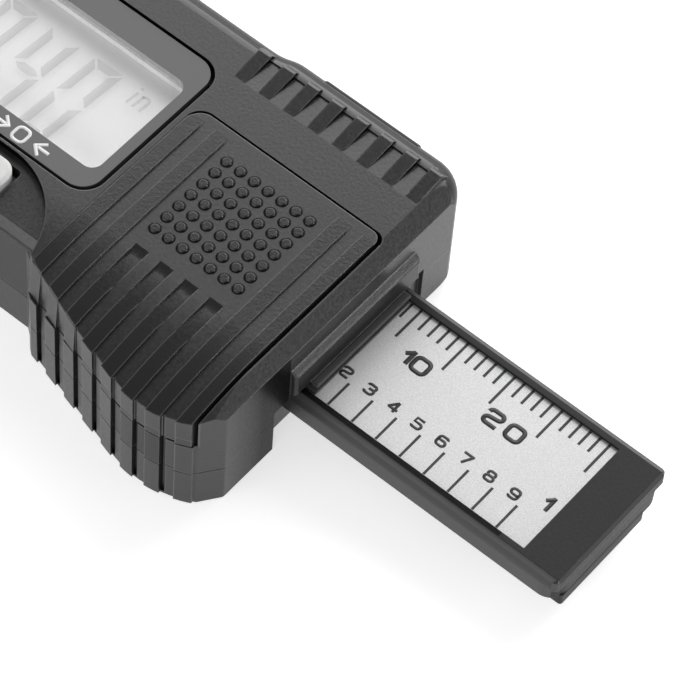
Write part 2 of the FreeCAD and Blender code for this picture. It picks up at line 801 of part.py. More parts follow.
def button(centre):
    """Cap with a bevelled rim, a flange inside the housing and a stem over the switch."""
    half = button_length / 2
    cap = rounded_box(centre - half, centre + half, button_near, button_far, 5.5, button_top, button_corner)
    rim = [e for e in cap.Edges if abs(e.BoundBox.ZMin - button_top) < 1e-6]
    cap = cap.makeChamfer(0.3, rim)
    reach = half + button_flange
    flange = box(centre - reach, centre + reach, -12.9, button_far + 0.35, 5.3, 6.1)
    middle = (button_near + button_far) / 2
    gap = button_travel + 0.1
    low = board_bottom + board_thickness + 1.5 + gap
    stem = cylinder(centre, middle, low, 1.0, 5.6 - low)
    return cap.fuse([flange, stem]).removeSplitter()


def battery_cell():
    """Coin cell: a can with a slightly smaller cap underneath."""
    x, y = cell_centre
    can = cylinder(x, y, cell_bottom + 0.7, cell_radius, cell_height - 0.7)
    rim = [e for e in can.Edges if e.BoundBox.ZMin > cell_bottom + cell_height - 0.1]
    can = can.makeChamfer(0.25, [e for e in rim if e.BoundBox.XLength > 10])
    cap = cylinder(x, y, cell_bottom, cell_radius - 1.2, 0.75)
    return can.fuse(cap)


def battery_contact_positive():
    """Strip that bears on the cell's side, at the far side of the bay."""
    x, y = cell_centre
    far = y + cell_radius
    upright = box(x - 2.0, x + 2.0, far + 0.02, far + 0.2, cell_bottom + 0.4, 6.0)
    tail = box(x - 1.0, x + 1.0, far + 0.02, far + 0.2, bay_floor + 0.02, cell_bottom + 0.6)
    return upright.fuse(tail)


def battery_contact_negative():
    """Two sprung fingers on the floor of the bay."""
    x, y = cell_centre
    base = box(x - 4.0, x + 4.0, y - 1.5, y + 1.5, bay_floor + 0.01, bay_floor + 0.13)
    fingers = []
    for side in (-1, 1):
        section = [(y + side * 1.4, bay_floor + 0.01), (y + side * 1.4, bay_floor + 0.13),
                   (y + side * 4.5, bay_floor + 0.27), (y + side * 4.5, bay_floor + 0.15)]
        fingers.append(bar(section, x - 1.0, x + 1.0))
    return base.fuse(fingers).removeSplitter()


def data_port_cover():
    """Plug that closes the data port and carries the rounding of the far edge on across it."""
    face = far_wall + far_swell
    skin = box(port_start - 1, port_end + 1, 0, face + port_proud, 0, top + port_proud)
    rounding = []
    for edge in skin.Edges:
        bounds = edge.BoundBox
        if bounds.XLength > 1 and bounds.YMin > face and bounds.ZMin > top:
            rounding.append(edge)
    skin = skin.makeFillet(far_round + port_proud, rounding)
    plate = box(port_start, port_end, face - port_depth, face + 1, port_bottom, port_top).common(skin)
    rim = [e for e in plate.Edges if e.BoundBox.XLength < 1e-6 and e.BoundBox.YMin > face - 0.6]
    plate = plate.makeChamfer(0.08, rim)
    back = face - port_depth
    low = port_bottom + 2.4
    tongue = box(port_start + 1.5, port_end - 1.5, back - 0.7, back + 0.1, low, low + 1.4)
    middle = (port_start + port_end) / 2
    nick = cylinder(middle - 1.5, face + 0.45, port_bottom + 0.9, 0.7, 3, Vector(1, 0, 0))
    return plate.fuse(tongue).cut(nick)


def data_port_contacts():
    """Four plated fingers at the edge of the board, behind the data port."""
    low = board_bottom + board_thickness
    pads = []
    for index in range(4):
        x = port_start + 1.6 + index * 2.1
        pads.append(box(x, x + 1.2, board_far - 1.6, board_far - 0.1, low, low + 0.05))
    return Part.makeCompound(pads)


def cross_recess(x, y, z, depth):
    """Cross slot for a small driver."""
    slot = box(x - 1.0, x + 1.0, y - 0.25, y + 0.25, z, z + depth)
    return slot.fuse(box(x - 0.25, x + 0.25, y - 1.0, y + 1.0, z, z + depth))


def housing_screws():
    """Countersunk-depth pan screws from the back."""
    screws = []
    head_bottom = bottom + 0.6
    for x, y in screw_spots:
        head = cylinder(x, y, head_bottom, screw_head, screw_head_height - 0.05)
        shank = cylinder(x, y, head_bottom + screw_head_height - 0.1, screw_thread - 0.25, screw_length - 0.9)
        screws.append(head.fuse(shank).cut(cross_recess(x, y, head_bottom - 0.01, 0.6)))
    return Part.makeCompound(screws)


def board_screws():
    """Two short screws that hold the board up to bosses in the upper half."""
    screws = []
    for x, y in board_screw_spots:
        head = cylinder(x, y, board_bottom - 0.75, 1.3, 0.7)
        shank = cylinder(x, y, board_bottom - 0.1, 0.6, board_thickness + 1.6)
        screws.append(head.fuse(shank).cut(cross_recess(x, y, board_bottom - 0.76, 0.35)))
    return Part.makeCompound(screws)


def guide_spring():
    """Bowed leaf in the far side of the channel that takes up the ruler's play."""
    inner = ruler_half_width + 0.06
    points = [(60.6, inner + 0.85), (65.0, inner), (69.4, inner + 0.85)]
    back = [(69.4, inner + 1.0), (65.0, inner + 0.15), (60.6, inner + 1.0)]
    edges = [arc(*points), line(points[2], back[0]), arc(*back), line(back[2], points[0])]
    face = Part.Face(Part.Wire(edges))
    face.translate(Vector(0, 0, -1.3))
    return face.extrude(Vector(0, 0, 1.2))


def ruler_section(z0, z1, side_low, side_high, end):
    """Length of the ruler between two heights, with side walls from one half width to another."""
    section = [(-side_low, z0), (-side_high, z1), (side_high, z1), (side_low, z0)]
    return bar(section, ruler_start, end)


def probe_hole():
    return cylinder(ruler_start - 1, 0, 0, probe_diameter / 2, probe_grip + 1, Vector(1, 0, 0))


def ruler_frame():
    """Upper half of the ruler: a tray with a chamfered rim and end."""
    side = ruler_half_width
    body = ruler_section(ruler_seam, ruler_top - 0.2, side, side - 0.04, ruler_end)
    rim = ruler_section(ruler_top - 0.2, ruler_top, side - 0.04, side - ruler_edge, ruler_end)
    frame = body.fuse(rim)
    bevel = rail([(ruler_end - 0.3, ruler_top), (ruler_end - 0.3, 4), (ruler_end + 2, 4),
                  (ruler_end + 2, ruler_top - 2.3), (ruler_end, ruler_top - 0.3)], -10, 10)
    frame = frame.cut(bevel)
    corners = [e for e in frame.Edges if abs(e.BoundBox.XMin - ruler_end) < 1e-3 and e.BoundBox.YLength < 0.2
               and e.BoundBox.ZLength > 0.3]
    if corners:
        frame = frame.makeFillet(0.6, corners)
    tray = box(grid_start - 0.05, label_end + 0.03, -label_half_width - 0.03, label_half_width + 0.03,
               label_top - label_thickness - grid_thickness, 4)
    return frame.cut([tray, probe_hole()]).removeSplitter()


def ruler_back():
    """Lower half of the ruler, with the rib that runs in the floor of the channel."""
    end = ruler_end - 0.05
    plate = ruler_section(ruler_bottom, ruler_seam, ruler_half_width - 0.12, ruler_half_width, end)
    corners = [e for e in plate.Edges if abs(e.BoundBox.XMin - end) < 1e-3 and e.BoundBox.YLength < 0.2
               and e.BoundBox.ZLength > 0.3]
    plate = plate.makeFillet(back_corner, corners)
    low = ruler_bottom - rib_depth
    rib_end = ruler_end - 0.02
    rib = box(ruler_start, rib_end, rib_near, rib_far, low, ruler_bottom + 0.3)
    ends = [e for e in rib.Edges if e.BoundBox.XMin > rib_end - 0.01 and e.BoundBox.ZLength > 0.3]
    rib = rib.makeFillet(0.3, ends)
    return plate.fuse(rib).cut(probe_hole()).removeSplitter()


def sensor_grid_strip():
    low = label_top - label_thickness - grid_thickness
    return box(grid_start, label_end, -label_half_width, label_half_width, low, low + grid_thickness)


def scale_label():
    low = label_top - label_thickness
    return box(grid_start, label_end, -label_half_width, label_half_width, low, label_top)


def probe_pin():
    """Steel rod with a bevelled tip that touches the bottom of the tread."""
    radius = probe_diameter / 2
    length = scale_reading + ruler_start + probe_grip - 0.05
    rod = cylinder(-scale_reading, 0, 0, radius, length, Vector(1, 0, 0))
    tip = [e for e in rod.Edges if e.BoundBox.XMax < -scale_reading + 1e-3]
    rod = rod.makeChamfer(0.5, tip)
    return rod.cut(cylinder(ruler_start + 4, 0, -3, 0.5, 6))


def probe_cross_pin():
    """Dowel that locks the probe between the halves of the ruler."""
    return cylinder(ruler_start + 4, 0, -1.15, 0.49, 2.3)


def save(shape, name):
    parts = shape.Solids
    result = parts[0] if len(parts) == 1 else Part.makeCompound(parts)
    result = result.translated(Vector(-(ruler_end - scale_reading) / 2, 0, -bottom))
    result.exportStep(os.path.join("parts", name + ".step"))
    state = "valid" if result.isValid() else "INVALID"
    print(name, len(parts), "solid(s)", round(result.Volume, 2), "mm3", state)


def main():
    os.makedirs("parts", exist_ok=True)
    blank = upper_blank()
    pieces = {
        "upper_housing": upper_housing(blank),
        "battery_cover": battery_cover(blank),
        "lower_housing": lower_housing(),
        "measuring_foot": measuring_foot(),
        "display_bezel": display_bezel(),
        "display_frame": display_frame(),
        "display_lens": display_lens(),
        "lcd_panel": lcd_panel(),
        "zebra_connectors": zebra_connectors(),
        "circuit_board": circuit_board(),
        "driver_chip": driver_chip(),
        "key_switches": key_switches(),
        "battery_cell": battery_cell(),
        "battery_contact_positive": battery_contact_positive(),
        "battery_contact_negative": battery_contact_negative(),
        "data_port_cover": data_port_cover(),
        "data_port_contacts": data_port_contacts(),
        "housing_screws": housing_screws(),
        "board_screws": board_screws(),
        "guide_spring": guide_spring(),
        "ruler_frame": ruler_frame(),
        "ruler_back": ruler_back(),
        "sensor_grid_strip": sensor_grid_strip(),
        "scale_label": scale_label(),
        "probe_pin": probe_pin(),
        "probe_cross_pin": probe_cross_pin(),
    }
    for name, centre in zip(("unit_button", "power_button", "zero_button"), button_centres()):
        pieces[name] = button(centre)
    for name, shape in pieces.items():
        save(shape, name)


main()
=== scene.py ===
import bmesh
import bpy
import math
from mathutils import Matrix, Vector


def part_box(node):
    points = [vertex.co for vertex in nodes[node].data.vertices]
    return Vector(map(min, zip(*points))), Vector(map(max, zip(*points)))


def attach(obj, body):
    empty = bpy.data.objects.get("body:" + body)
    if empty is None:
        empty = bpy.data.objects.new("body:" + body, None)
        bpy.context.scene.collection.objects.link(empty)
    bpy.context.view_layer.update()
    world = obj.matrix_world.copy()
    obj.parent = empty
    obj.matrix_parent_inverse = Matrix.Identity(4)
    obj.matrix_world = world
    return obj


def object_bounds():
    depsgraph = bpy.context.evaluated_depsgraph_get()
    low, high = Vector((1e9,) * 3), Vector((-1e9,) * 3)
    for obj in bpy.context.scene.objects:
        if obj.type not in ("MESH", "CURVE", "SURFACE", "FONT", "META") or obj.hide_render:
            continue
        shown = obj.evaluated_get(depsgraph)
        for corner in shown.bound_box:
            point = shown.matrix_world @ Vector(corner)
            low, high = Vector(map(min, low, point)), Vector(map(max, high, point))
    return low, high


# Digital tread depth gauge: finishes, printed scale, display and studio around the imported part.
# Metres, in the part's own frame. Sizes in the dictionaries are millimetres unless they say otherwise.

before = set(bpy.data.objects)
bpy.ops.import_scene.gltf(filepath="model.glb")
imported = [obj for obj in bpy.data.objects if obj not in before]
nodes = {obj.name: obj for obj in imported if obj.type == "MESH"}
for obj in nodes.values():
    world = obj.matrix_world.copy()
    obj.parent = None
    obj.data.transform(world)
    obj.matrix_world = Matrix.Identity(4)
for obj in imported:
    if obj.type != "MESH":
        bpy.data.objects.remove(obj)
cadLow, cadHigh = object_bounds()
mm = 0.001
halfLength = 48.25  # from the measuring face to the frame's origin
scaleReading = 3.6  # how far the ruler stands out at rest
displayZero = cadLow.x / mm + scaleReading  # where the display's places along X are counted from
occlusionSamples = 8
bevelSamples = 6


def toLinear(hexText):
    channels = [int(hexText[i:i + 2], 16) / 255 for i in (1, 3, 5)]
    return [c / 12.92 if c <= 0.04045 else ((c + 0.055) / 1.055) ** 2.4 for c in channels] + [1.0]


def feed(node, inputs):
    # an input takes a number, a hex colour, a socket, or a node, whose first output in use is meant
    for key, value in inputs.items():
        if isinstance(value, bpy.types.Node):
            value = next(socket for socket in value.outputs if socket.enabled)
        if isinstance(value, bpy.types.NodeSocket):
            node.id_data.links.new(value, node.inputs[key])
        else:
            node.inputs[key].default_value = toLinear(value) if isinstance(value, str) else value


def addNode(tree, kind, inputs=None, **settings):
    made = tree.nodes.new(kind)
    for key, value in settings.items():
        setattr(made, key, value)
    feed(made, inputs or {})
    return made


def newMaterial(name, inputs):
    material = bpy.data.materials.new(name)
    material.use_nodes = True
    tree = material.node_tree
    shader = tree.nodes["Principled BSDF"]
    feed(shader, inputs)
    return material, tree, shader, addNode(tree, "ShaderNodeTexCoord").outputs["Object"]


def placeOf(tree):
    # X, Y and Z of a point, in mm
    metres = tree.nodes["Texture Coordinate"].outputs["Object"]
    place = addNode(tree, "ShaderNodeVectorMath", {0: metres, "Scale": 1 / mm}, operation="SCALE")
    return addNode(tree, "ShaderNodeSeparateXYZ", {"Vector": place}).outputs


def facingOf(tree):
    # X, Y and Z of the way that a point's face looks
    facing = addNode(tree, "ShaderNodeNewGeometry").outputs["True Normal"]
    return addNode(tree, "ShaderNodeSeparateXYZ", {"Vector": facing}).outputs


def maskWhere(tree, *limits):
    # 1 where each value lies between its two limits, of which one can be None, and 0 elsewhere
    mask = None
    for value, low, high in limits:
        for operation, limit in (("GREATER_THAN", low), ("LESS_THAN", high)):
            if limit is None:
                continue
            test = addNode(tree, "ShaderNodeMath", {0: value, 1: limit}, operation=operation)
            if mask is None:
                mask = test
            else:
                mask = addNode(tree, "ShaderNodeMath", {0: mask, 1: test}, operation="MULTIPLY")
    return mask


def overlay(material, mask, **changes):
    # lays a colour, shine or roughness over what a material already has, where the mask is 1
    shader = material.node_tree.nodes["Principled BSDF"]
    sockets = {"colour": "Base Color", "shine": "Specular IOR Level", "roughness": "Roughness"}
    for key, value in changes.items():
        socket = shader.inputs[sockets[key]]
        under = socket.links[0].from_socket if socket.links else socket.default_value
        made = addNode(material.node_tree, "ShaderNodeMix", {"Factor": mask, "A": under, "B": value},
                       data_type="RGBA" if key == "colour" else "FLOAT")
        feed(shader, {socket.name: made})


def dress(names, material):
    for name in names:
        nodes[name].data.materials.clear()
        nodes[name].data.materials.append(material)


def boxOf(name):
    low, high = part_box(name)
    return low / mm, high / mm


def addObject(name, data):
    made = bpy.data.objects.new(name, data)
    bpy.context.scene.collection.objects.link(made)
    return made


noiseBand = {"From Min": 0.3, "From Max": 0.7}  # nearly all of the noise lies in here
housingAbs = {
    "colour": "#1e1e1e", "mottle": "#2c2c2c", "roughness": 0.33, "uneven": (-0.05, 0.06),
    "grain": 0.3,  # spark erosion is near 0.05 mm, drawn coarser so that it shows
    "detail": 3.0, "gain": 0.6,  # octaves of the noise, and how much each adds
    "patch": 7.0, "patchShare": 0.25,  # slow changes of tone, and their part in the mottle
    "depth": 0.02, "bump": 0.7, "soft": 0.12,  # how far the edges are rounded
    # the edge colour paints a highlight on convex edges, partly rubbed wear; the colour after it paints shade
    # into concave corners
    "edge": "#555555", "edgeWidth": 0.14, "edgeBand": (0.55, 0.95), "edgeCover": 0.9,
    "cornerShade": "#060606", "cornerShadeWidth": 0.5, "cornerShadeBand": (0.25, 0.8), "cornerShadeCover": 1.0,
    "raised": "#1c1c1c", "raisedRoughness": 0.27, "shine": 0.5,
}
rulerAbs = dict(housingAbs, colour="#101010", mottle="#202020", roughness=0.5, grain=0.26, depth=0.016,
                edge="#3c3c3c", edgeWidth=0.1, raised=None, shine=0.3)
shellAbs = dict(housingAbs, raised=None)
footAbs = dict(housingAbs, soft=0.2, raised=None)
portRubber = dict(housingAbs, colour="#1d1d1d", mottle="#252525", roughness=0.6, grain=0.25, depth=0.008,
                  edge="#4a4a4a", edgeWidth=0.1, raised=None)
polishedTool = dict(shellAbs, colour=housingAbs["raised"], mottle=housingAbs["raised"],
                    roughness=housingAbs["raisedRoughness"], depth=0.008)
crownShape = {"flatTo": -9.0, "radius": 37.0, "overBezel": 0.13,
              "ribs": (0.006, 0.03)}  # what stands this high over the top is rib


def standsProud(tree):
    # 1 on the ribs and pads of the top, whose tool faces were polished, and 0 on the eroded ground
    look = crownShape
    place = placeOf(tree)
    past = addNode(tree, "ShaderNodeMath", {0: look["flatTo"], 1: place["Y"]}, operation="SUBTRACT")
    past = addNode(tree, "ShaderNodeMath", {0: past, 1: 0.0}, operation="MAXIMUM")
    square = addNode(tree, "ShaderNodeMath", {0: past, 1: past}, operation="MULTIPLY")
    height = addNode(tree, "ShaderNodeMath", {0: square, 1: 0.5 / look["radius"], 2: place["Z"]},
                     operation="MULTIPLY_ADD")
    level = boxOf("display_bezel")[1].z + look["overBezel"]
    return addNode(tree, "ShaderNodeMapRange", {"Value": height, "From Min": level + look["ribs"][0],
                   "From Max": level + look["ribs"][1]})


def sparkErodedPlastic(name, look):
    # Black ABS moulded in a spark-eroded tool: dull and evenly speckled. Its convex edges are painted paler,
    # a painted highlight that is partly rubbed wear, and its corners are painted darker as shade
    material, tree, shader, place = newMaterial(name, {"Base Color": look["colour"],
                                                       "Specular IOR Level": look["shine"]})
    speck = addNode(tree, "ShaderNodeTexNoise", {"Vector": place, "Scale": 1 / (look["grain"] * mm),
                    "Detail": look["detail"], "Roughness": look["gain"]})
    patch = addNode(tree, "ShaderNodeTexNoise", {"Vector": place, "Scale": 1 / (look["patch"] * mm)})
    share = look["patchShare"]
    fine = addNode(tree, "ShaderNodeMapRange", {"Value": speck, "To Max": 1 - share, **noiseBand})
    broad = addNode(tree, "ShaderNodeMapRange", {"Value": patch, "To Max": share, **noiseBand})
    overlay(material, addNode(tree, "ShaderNodeMath", {0: fine, 1: broad}, operation="ADD"),
            colour=look["mottle"])
    smoother, rougher = look["uneven"]
    feed(shader, {"Roughness": addNode(tree, "ShaderNodeMapRange", {
        "Value": speck, "To Min": look["roughness"] + smoother, "To Max": look["roughness"] + rougher,
        **noiseBand})})
    if look["raised"]:
        overlay(material, standsProud(tree), colour=look["raised"], roughness=look["raisedRoughness"])
    # occlusion on the inside of the faces finds the convex edges, painted paler as a highlight and partly as
    # rubbed wear, and on the outside the concave corners, painted darker as shade
    for spot, inside in (("edge", True), ("cornerShade", False)):
        closed = addNode(tree, "ShaderNodeAmbientOcclusion", {"Distance": look[spot + "Width"] * mm},
                         inside=inside, only_local=True, samples=occlusionSamples)
        start, end = look[spot + "Band"]
        mask = addNode(tree, "ShaderNodeMapRange", {"Value": closed.outputs["AO"], "From Min": start,
                       "From Max": end, "To Min": look[spot + "Cover"], "To Max": 0.0})
        overlay(material, mask, colour=look[spot])
    rounded = addNode(tree, "ShaderNodeBevel", {"Radius": look["soft"] * mm}, samples=bevelSamples)
    feed(shader, {"Normal": addNode(tree, "ShaderNodeBump", {
        "Height": speck, "Normal": rounded, "Strength": look["bump"], "Distance": look["depth"] * mm})})
    return material


stripLightAndBrow = {"length": 0.6, "colour": "#464646", "shine": 0.15, "brow": 1.35, "browShine": 0.28, "soft": 0.3}


def tintIndexStrip(material):
    # The end of the lip that the scale is read against is painted paler, a painted glow for light through the
    # thin lip, and its brow is soft
    look = stripLightAndBrow
    tree = material.node_tree
    place = placeOf(tree)
    end = boxOf("upper_housing")[1].x
    brow = maskWhere(tree, (place["X"], end - look["brow"], None))
    feed(tree.nodes["Bevel"], {"Radius": addNode(tree, "ShaderNodeMapRange", {
        "Value": brow, "To Min": shellAbs["soft"] * mm, "To Max": look["soft"] * mm})})
    overlay(material, brow, shine=look["browShine"])
    # painted light: the last part of the lip is coloured paler than the black shell
    overlay(material, maskWhere(tree, (place["X"], end - look["length"], None)),
            colour=look["colour"], shine=look["shine"])


mouthShade = {"from": -16.5, "to": -11.0, "ruler": -7.7, "behind": 23.0, "facing": 0.9,
              "colour": "#030303", "shine": 0.1}


def shadeMouth(material):
    # The end face is duller and darker towards the near corner of the mouth, under the end of the brow
    look = mouthShade
    tree = material.node_tree
    place, facing = placeOf(tree), facingOf(tree)
    corner = maskWhere(tree, (place["Y"], None, look["ruler"]), (place["X"], look["behind"], None),
                       (facing["X"], look["facing"], None))
    fade = addNode(tree, "ShaderNodeMapRange", {"Value": place["Y"], "From Min": look["from"],
                   "From Max": look["to"]})
    overlay(material, addNode(tree, "ShaderNodeMath", {0: fade, 1: corner}, operation="MULTIPLY"),
            colour=look["colour"], shine=look["shine"])


wallShade = {"farFacing": 0.3, "farShine": 0.16, "nearFacing": -0.97, "nearShine": 0.3, "upright": 0.35,
             "depth": 1.3, "halfWidth": 14.0, "end": 21.0, "colour": "#040404", "shine": 0.05}


def shadeWalls(material):
    # The far bevel and the near wall are duller than the top, and the walls of its recesses are dark and dull
    look = wallShade
    tree = material.node_tree
    place, facing = placeOf(tree), facingOf(tree)
    overlay(material, maskWhere(tree, (facing["Y"], look["farFacing"], None)), shine=look["farShine"])
    overlay(material, maskWhere(tree, (facing["Y"], None, look["nearFacing"])), shine=look["nearShine"])
    top = boxOf("upper_housing")[1].z
    walls = maskWhere(tree, (facing["Z"], -look["upright"], look["upright"]),
                      (place["Z"], top - look["depth"], None),
                      (place["Y"], -look["halfWidth"], look["halfWidth"]), (place["X"], None, look["end"]))
    overlay(material, walls, colour=look["colour"], shine=look["shine"])


dotField = {"first": (56.0, 2.99), "pitch": 1.51, "rows": 7, "crestShine": 0.38,
            "ring": 0.51, "width": 0.11, "core": 0.4, "colour": "#070707", "ringShine": 0.08}


def engraveDots(material):
    # Painted shade: a fine dark ring round the foot of each raised dot, where its shade lies
    look = dotField
    tree = material.node_tree
    place = tree.nodes["Texture Coordinate"].outputs["Object"]
    pitch, rows, ring = look["pitch"], look["rows"], look["ring"] / look["pitch"]
    corner = ((look["first"][0] - halfLength - pitch / 2) * mm,
              (look["first"][1] + pitch / 2 - rows * pitch) * mm, 0)
    moved = addNode(tree, "ShaderNodeVectorMath", {0: place, 1: corner}, operation="SUBTRACT")
    cell = addNode(tree, "ShaderNodeVectorMath", {0: moved, "Scale": 1 / (pitch * mm)}, operation="SCALE")
    inCell = addNode(tree, "ShaderNodeVectorMath", {0: cell}, operation="FRACTION")
    inCell = addNode(tree, "ShaderNodeVectorMath", {0: inCell, 1: (0.5, 0.5, 0)}, operation="SUBTRACT")
    flat = addNode(tree, "ShaderNodeVectorMath", {0: inCell, 1: (1, 1, 0)}, operation="MULTIPLY")
    away = addNode(tree, "ShaderNodeVectorMath", {0: flat}, operation="LENGTH")
    off = addNode(tree, "ShaderNodeMath", {0: away, 1: ring}, operation="SUBTRACT")
    off = addNode(tree, "ShaderNodeMath", {0: off}, operation="ABSOLUTE")
    width = look["width"] / pitch
    footShade = addNode(tree, "ShaderNodeMapRange", {"Value": off, "From Min": look["core"] * width,
                     "From Max": width, "To Min": 1.0, "To Max": 0.0})
    spot = addNode(tree, "ShaderNodeSeparateXYZ", {"Vector": cell}).outputs
    field = [(spot[axis], 0.0, rows) for axis in ("X", "Y")]
    overlay(material, maskWhere(tree, (away, None, ring), *field), shine=look["crestShine"])
    # painted shade: the ring is coloured near black, limited to the field of dots
    footShade = addNode(tree, "ShaderNodeMath", {0: footShade, 1: maskWhere(tree, *field)}, operation="MULTIPLY")
    overlay(material, footShade, colour=look["colour"], shine=look["ringShine"])


rulerWearAndShade = {"side": 6.85, "colour": "#2c2c2c", "shine": 0.46, "roughness": 0.4,
             "ledge": (-6.8, -6.3), "ledgeEnd": 45.35, "ledgeColour": "#040404", "ledgeShine": 0.12}


def wearRuler(material):
    # The ruler's sides are paler and smoother, rubbed wear that is partly a painted highlight, and the narrow
    # ledge by the label is painted dark as shade
    look = rulerWearAndShade
    tree = material.node_tree
    place = placeOf(tree)
    fromMiddle = addNode(tree, "ShaderNodeMath", {0: place["Y"]}, operation="ABSOLUTE")
    # paler sides: rubbed wear, and partly a painted highlight
    overlay(material, maskWhere(tree, (fromMiddle, look["side"], None)),
            colour=look["colour"], shine=look["shine"], roughness=look["roughness"])
    # painted shade: the ledge by the label is coloured near black
    overlay(material, maskWhere(tree, (place["Y"], *look["ledge"]), (place["X"], None, look["ledgeEnd"])),
            colour=look["ledgeColour"], shine=look["ledgeShine"])


grainLook = {"roughness": 0.5, "metallic": 0.0, "stretch": (1, 1, 1), "detail": 3.0, "gain": 0.5}


def grainedFinish(name, **changes):
    # fine noise between two colours, which also varies the roughness and the height where that is asked for
    look = dict(grainLook, **changes)
    material, tree, shader, place = newMaterial(name, {
        "Base Color": look["colours"][0], "Roughness": look["roughness"], "Metallic": look["metallic"]})
    drawn = addNode(tree, "ShaderNodeVectorMath", {0: place, 1: look["stretch"]}, operation="MULTIPLY")
    speck = addNode(tree, "ShaderNodeTexNoise", {"Vector": drawn, "Scale": 1 / (look["grain"] * mm),
                    "Detail": look["detail"], "Roughness": look["gain"]})
    overlay(material, addNode(tree, "ShaderNodeMapRange", {"Value": speck, **noiseBand}),
            colour=look["colours"][1])
    if "gloss" in look:
        low, high = look["gloss"]
        feed(shader, {"Roughness": addNode(tree, "ShaderNodeMapRange", {
            "Value": speck, "To Min": low, "To Max": high, **noiseBand})})
    if "ripple" in look:
        speck = addNode(tree, "ShaderNodeTexNoise", {"Vector": place, "Scale": 1 / (look["ripple"] * mm)})
    if "bump" in look:
        strength, depth = look["bump"]
        bump = addNode(tree, "ShaderNodeBump", {"Height": speck, "Strength": strength,
                       "Distance": depth * mm})
        feed(shader, {"Normal": bump})
    if "soft" in look:
        rounded = addNode(tree, "ShaderNodeBevel", {"Radius": look["soft"] * mm}, samples=bevelSamples)
        feed(bump, {"Normal": rounded})
    return material


bezelPrint = {"ink": "#585858", "core": "#a4a4a4", "rim": 0.9, "facing": 0.7}


def printedBezel():
    # Pale acrylic sheet with a satin dark ink on its face: the cut edge of the window shows the pale core
    look = bezelPrint
    material = grainedFinish("screen printed acrylic", colours=(look["ink"], look["ink"]), grain=0.15,
                             detail=2.0, bump=(0.4, 0.003))
    tree = material.node_tree
    low, high = boxOf("display_bezel")
    place, facing = placeOf(tree), facingOf(tree)
    core = maskWhere(tree, (place["X"], low.x + look["rim"], high.x - look["rim"]),
                     (place["Y"], low.y + look["rim"], high.y - look["rim"]),
                     (facing["Z"], None, look["facing"]))
    overlay(material, core, colour=look["core"])
    return material


def smoothPlastic(name, colours, roughness, edge=0.15):
    # Plastic from a polished tool: even colour, slight satin gloss
    return grainedFinish(name, colours=colours, roughness=roughness, grain=1.5, detail=4.0, ripple=0.4,
                         bump=(0.2, 0.003), soft=edge)


def silverFilm():
    # Polyester label film with a vapour-deposited, sand-grained silver face
    return grainedFinish("sand grained silver film", colours=("#b4b4b4", "#d4d4d4"), metallic=0.55,
                         grain=0.12, gain=0.65, gloss=(0.36, 0.52), bump=(0.35, 0.004))


def displayReflector():
    # Pale grey reflector film behind the liquid crystal, matt and very finely grained
    return grainedFinish("matt reflector film", colours=("#e8e8e8", "#eeeeee"), roughness=0.55, grain=0.25)


def clearPane():
    # Clear acrylic window, seen through with almost no tint
    return newMaterial("clear acrylic", {"Base Color": "#ffffff", "Roughness": 0.08, "IOR": 1.49,
                       "Alpha": 0.04})[0]


metalGloss = (-0.06, 0.08)  # how far the roughness goes to each side of a metal's own


def metal(name, colours, roughness, stretch=(1, 1, 1)):
    # Solid metal with an uneven gloss, which a stretch along one axis draws out into grinding lines
    return grainedFinish(name, colours=colours, metallic=1.0, grain=0.2, bump=(0.25, 0.003), stretch=stretch,
                         gloss=[roughness + change for change in metalGloss])


def printInk(name, colours):
    # Screen-printed ink, slightly uneven in its coverage
    return grainedFinish(name, colours=colours, grain=0.1, detail=2.0)


# Green solder mask over glass-fibre laminate, with paler lines where copper runs under it
solderMask = {"colours": ("#15402a", "#2a6a44"), "roughness": 0.35, "unit": 8.164, "along": "DIAGONAL",
              "wander": 3.0, "band": (0.75, 0.8)}
# Silicone rubber in thin conducting and insulating layers along the strip
zebraRubber = {"colours": ("#1d1d1d", "#c9a9a4"), "roughness": 0.6, "unit": 1.1304, "along": "X",
               "wander": 0.0, "band": (0.45, 0.55)}


def bandedFinish(name, look):
    # one unit of the wave texture holds a few bands
    material, tree, _, place = newMaterial(name, {"Base Color": look["colours"][0],
                                                  "Roughness": look["roughness"]})
    waves = addNode(tree, "ShaderNodeTexWave", {"Vector": place, "Scale": 1 / (look["unit"] * mm),
                    "Distortion": look["wander"], "Detail": 1.0, "Detail Scale": 0.5},
                    bands_direction=look["along"])
    start, end = look["band"]
    mask = addNode(tree, "ShaderNodeMapRange", {"Value": waves.outputs["Fac"], "From Min": start,
                   "From Max": end})
    overlay(material, mask, colour=look["colours"][1])
    return material


def shadeCorners(name, tiltOf):
    # tiltOf says which way a corner of a face looks, or None where it stays as it is
    mesh = nodes[name].data
    normals = [corner.vector.copy() for corner in mesh.corner_normals]
    for face in mesh.polygons:
        for corner in face.loop_indices:
            tilt = tiltOf(face, mesh.vertices[mesh.loops[corner].vertex_index].co / mm)
            if tilt:
                normals[corner] = Vector(tilt).normalized()
    mesh.normals_split_custom_set(normals)


scoop = {"first": 55.83, "pitch": 2.68, "ribs": 4, "width": 1.42, "start": -8.2, "deep": -9.2, "end": -13.5,
         "tilts": (21.0, -0.8, 8.0),  # degrees towards the grip at the start, the deepest point and the end
         "floor": 0.9, "wall": 0.5, "close": 0.05,  # how a hollow's faces look, and how near they lie
         "ribEnd": 3.6, "endFacing": 0.2}  # of the small faces at the far ends of the long ribs


def inHollow(face):
    across = face.center.x / mm + halfLength - scoop["first"]
    along = face.center.y / mm
    inRib = 0 < across < scoop["ribs"] * scoop["pitch"] and across % scoop["pitch"] < scoop["width"]
    atEnd = abs(along - scoop["end"]) < scoop["close"] and face.normal.y > scoop["wall"]
    onFloor = scoop["end"] < along < scoop["start"] and face.normal.z > scoop["floor"]
    return inRib and (atEnd or onFloor)


